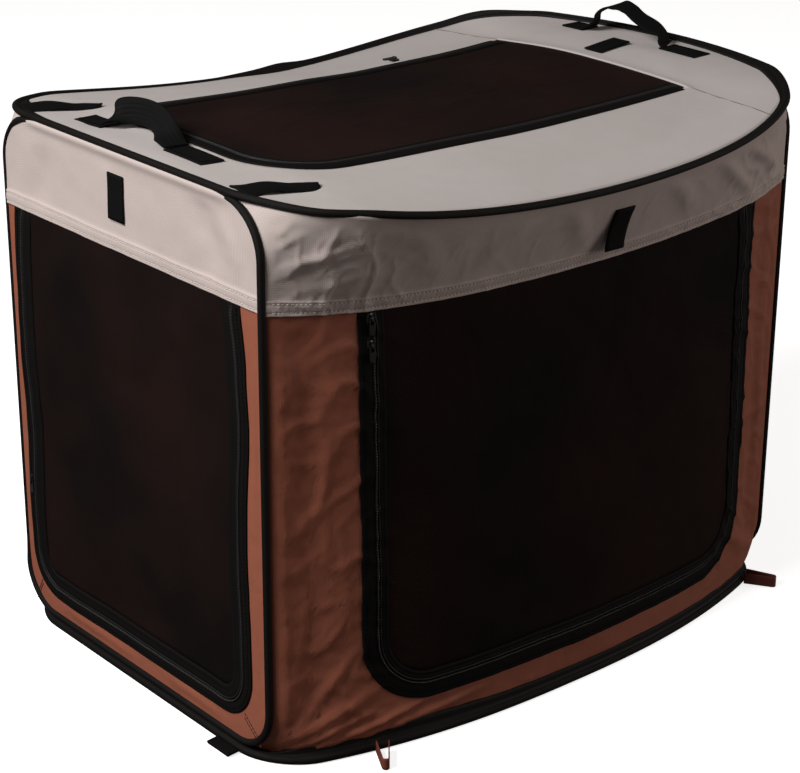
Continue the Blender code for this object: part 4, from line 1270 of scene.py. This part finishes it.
# each handle's centre line from its near root to its far one: x, y and height over its base, and the
# direction across the strap, as it stands or slumps
handles = {
    "left": {
        "x": -0.279, "feet": ((-0.078, -0.022), (0.078, 0.122)),
        "route": [
            (-0.2790, -0.0240, 0.0006, 1.0, 0.0, 0.0), (-0.2775, -0.0150, 0.0022, 0.97, 0.20, 0.12),
            (-0.2740, -0.0040, 0.0045, 0.90, 0.26, 0.34), (-0.2690, 0.0080, 0.0072, 0.74, 0.24, 0.62),
            (-0.2640, 0.0210, 0.0100, 0.52, 0.16, 0.84), (-0.2620, 0.0360, 0.0122, 0.30, 0.05, 0.95),
            (-0.2630, 0.0510, 0.0128, 0.18, 0.0, 0.98), (-0.2680, 0.0640, 0.0122, 0.22, 0.06, 0.97),
            (-0.2750, 0.0720, 0.0100, 0.55, 0.20, 0.81), (-0.2785, 0.0765, 0.0050, 0.90, 0.20, 0.38),
            (-0.2790, 0.0785, 0.0006, 1.0, 0.0, 0.0),
        ],
    },
    "right": {
        "x": 0.322, "feet": ((-0.082, -0.034), (0.078, 0.108)),
        "route": [
            (0.3220, -0.0345, 0.0006, 1.0, 0.0, 0.0), (0.3205, -0.0312, 0.0030, 0.96, 0.24, -0.10),
            (0.3215, -0.0290, 0.0068, 0.92, 0.24, -0.30), (0.3220, -0.0225, 0.0115, 0.97, 0.20, -0.06),
            (0.3220, -0.0110, 0.0162, 0.92, 0.31, 0.21), (0.3220, 0.0065, 0.0218, 0.91, 0.35, 0.18),
            (0.3220, 0.0205, 0.0280, 0.75, 0.60, 0.25), (0.3220, 0.0335, 0.0303, 0.64, 0.76, 0.12),
            (0.3220, 0.0470, 0.0272, 0.62, 0.70, -0.25), (0.3220, 0.0630, 0.0185, 0.62, 0.72, -0.32),
            (0.3220, 0.0715, 0.0080, 0.75, 0.60, -0.28), (0.3220, 0.0765, 0.0030, 0.95, 0.25, -0.10),
            (0.3220, 0.0790, 0.0006, 1.0, 0.0, 0.0),
        ],
    },
}
footStitch = {"half": 0.009, "inset": 0.004}


def smoothed(rows, per):
    # a smooth curve through rows of numbers, with so many points for each
    points = []
    for i in range(len(rows) - 1):
        before, a, b, after = rows[max(i - 1, 0)], rows[i], rows[i + 1], rows[min(i + 2, len(rows) - 1)]
        for t in steps(0, 1, per)[:-1]:
            points.append([0.5 * (2 * q + (r - p) * t + (2 * p - 5 * q + 4 * r - s) * t * t
                                  + (3 * q - p - 3 * r + s) * t ** 3)
                           for p, q, r, s in zip(before, a, b, after)])
    return points + [list(rows[-1])]


def boxStitch(place, centre, half, out, lift):
    # a sewn rectangle round a strap's end
    a, b = centre
    c, d = half
    corners = [(a - c, b - d), (a + c, b - d), (a + c, b + d), (a - c, b + d), (a - c, b - d)]
    return [runOn(place, [between(near, far, t) for t in steps(0, 1, 6)], out, lift)
            for near, far in zip(corners, corners[1:])]


def handlePiece(end):
    facts, thick = handles[end], strap["thick"]
    x, half = facts["x"], strap["width"] / 2
    near, far = facts["route"][0][1], facts["route"][-1][1]
    base = max(topAt(a, b).z for a in (x - half, x + half) for b in (near, far)) + thick * 1.1
    line = smoothed(facts["route"], 7)
    centres = [Vector((a, b, base + height)) for a, b, height, *across in line]
    mesh = strapMesh(centres, [Vector(row[3:]) for row in line], strap["width"], thick)
    dress(end + "_handle_webbing", mesh, webbing, end + "_handle", [end + "_handle"])
    runs = []
    for i, (low, high) in enumerate(facts["feet"]):
        foot = [topAt(x, y, thick * 0.6) for y in steps(low, high, 16)]
        patch = strapMesh(foot, [Vector((1, 0, 0))] * len(foot), strap["width"], thick)
        dress(f"{end}_handle_foot_{i + 1}", patch, webbing, "top")
        runs += boxStitch(topAt, (x, (low + high) / 2),
                          (footStitch["half"], (high - low) / 2 - footStitch["inset"]), upward, thick * 1.15)
    stitchPiece(end + "_handle_stitching", runs, blackThread, "top", thread=webStitch)


for end in endSign:
    handlePiece(end)

cornerStrap = {
    "root": -0.3110, "end": -0.2370, "rise": 0.0036, "rootWide": 1.35, "waistWide": 0.86, "cut": 0.72,
    "cutFrom": 0.80, "curl": 14, "places": {"front": (-0.1600, -0.1705), "back": (0.1800, 0.1600)},
}


def cornerStrapPiece(side):
    # a strap end that springs out from under the rim and lies on the top, cut to a point
    lift = strap["laid"] + strap["thick"] / 2
    rootY, endY = cornerStrap["places"][side]
    line, wide = [], []
    for t in steps(0, 1, 26):
        x, y = between((cornerStrap["root"], rootY), (cornerStrap["end"], endY), t)
        line.append(topAt(x, y, lift + cornerStrap["rise"] * math.sin(math.pi * min(t / 0.8, 1)) ** 2))
        waist = 1 + (cornerStrap["waistWide"] - 1) * math.sin(math.pi * t) ** 2
        flare = (cornerStrap["rootWide"] - 1) * (1 - eased(t / 0.22))
        taper = max((t - cornerStrap["cutFrom"]) / (1 - cornerStrap["cutFrom"]), 0) ** 1.3
        wide.append((waist + flare) * (1 - cornerStrap["cut"] * taper))
    mesh = strapMesh(line, [Vector((0, 1, 0.1))] * len(line), strap["width"], strap["thick"])
    for vertex in mesh.verts:
        point, share = min(zip(line, wide), key=lambda near: abs(near[0].x - vertex.co.x))
        offset = vertex.co.y - point.y
        vertex.co.y = point.y + offset * share
        vertex.co.z -= cornerStrap["curl"] * offset ** 2
    dress(side + "_corner_strap_webbing", mesh, webbing, side + "_corner_strap",
          [side + "_corner_strap"])


for side in cornerStrap["places"]:
    cornerStrapPiece(side)

stakeLoop = {  # places are along X, the side along Y, and the turn in degrees
    "length": 0.032, "spread": 0.0115, "ribbon": 0.012, "thick": 0.0012, "tip": 0.0030, "clear": 0.0018,
    "foot": 0.0005, "places": {
        "front_left": (-0.222, -1, -124), "front_right": (0.286, -1, -62),
        "back_left": (-0.222, 1, 112), "back_right": (0.286, 1, 62),
    },
}


def stakeLoopPiece(name, x, ySide, degrees):
    half, length, tip = stakeLoop["spread"] / 2, stakeLoop["length"], stakeLoop["tip"]
    flat = [(-half + (half - tip) * t, (length - tip) * t) for t in steps(0, 1, 10)]
    flat += [(tip * math.cos(t), length - tip + tip * math.sin(t)) for t in steps(math.pi, 0, 10)[1:-1]]
    flat += [(tip + (half - tip) * t, (length - tip) * (1 - t)) for t in steps(0, 1, 10)]
    root = Vector((x, ySide * (sideReach(x, 0) + crate["rimRadius"] + stakeLoop["clear"]),
                   stakeLoop["foot"] + stakeLoop["ribbon"] / 2))
    turn = Matrix.Translation(root) @ Matrix.Rotation(math.radians(degrees - 90), 4, "Z")
    centres = [turn @ Vector((a, b, 0)) for a, b in flat]
    mesh = strapMesh(centres, [upward] * len(centres), stakeLoop["ribbon"], stakeLoop["thick"])
    dress(name + "_ribbon", mesh, ribbon, "base", [name])


for corner, facts in stakeLoop["places"].items():
    stakeLoopPiece(corner + "_stake_loop", *facts)

cornerTab = {"length": 0.0115, "inset": 0.0002, "y": -0.142, "z": 0.0032, "droop": 0.0008, "width": 0.034,
             "thick": 0.0034}


def cornerTabPiece():
    edge = crate["halfLength"] + crate["rimRadius"] - cornerTab["inset"]
    line = [Vector((-edge - cornerTab["length"] * t, cornerTab["y"], cornerTab["z"] - cornerTab["droop"] * t))
            for t in steps(0, 1, 8)]
    mesh = strapMesh(line, [Vector((0, 1, 0))] * len(line), cornerTab["width"], cornerTab["thick"])
    dress("corner_tab_webbing", mesh, webbing, "base", ["corner_tab"])


cornerTabPiece()
print("webbing sewn")


# Zip sliders on the long sides: each is a copy of the frame's own

def foldingCasting(name):
    mesh = bmesh.new()
    mesh.from_mesh(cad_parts[name].data)
    bmesh.ops.remove_doubles(mesh, verts=mesh.verts[:], dist=mergeGap)
    faceOut(mesh)
    casting = dress(name + "_casting", mesh, enamel, name, [name], folds=True)
    casting.data.set_sharp_from_angle(angle=math.radians(35))


for zipEnd in ("front_upper", "front_lower", "back"):
    foldingCasting(zipEnd + "_slider")
    foldingCasting(zipEnd + "_pull")
print("sliders cast")


# What stays from the frame: wires and the other zip sliders, in their own finishes

kept = {"_wire_hoop": springSteel, "_slider": enamel, "_pull": enamel}
for name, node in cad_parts.items():
    for ending, finish in kept.items():
        if name.endswith(ending):
            node.data.materials.clear()
            node.data.materials.append(finish)
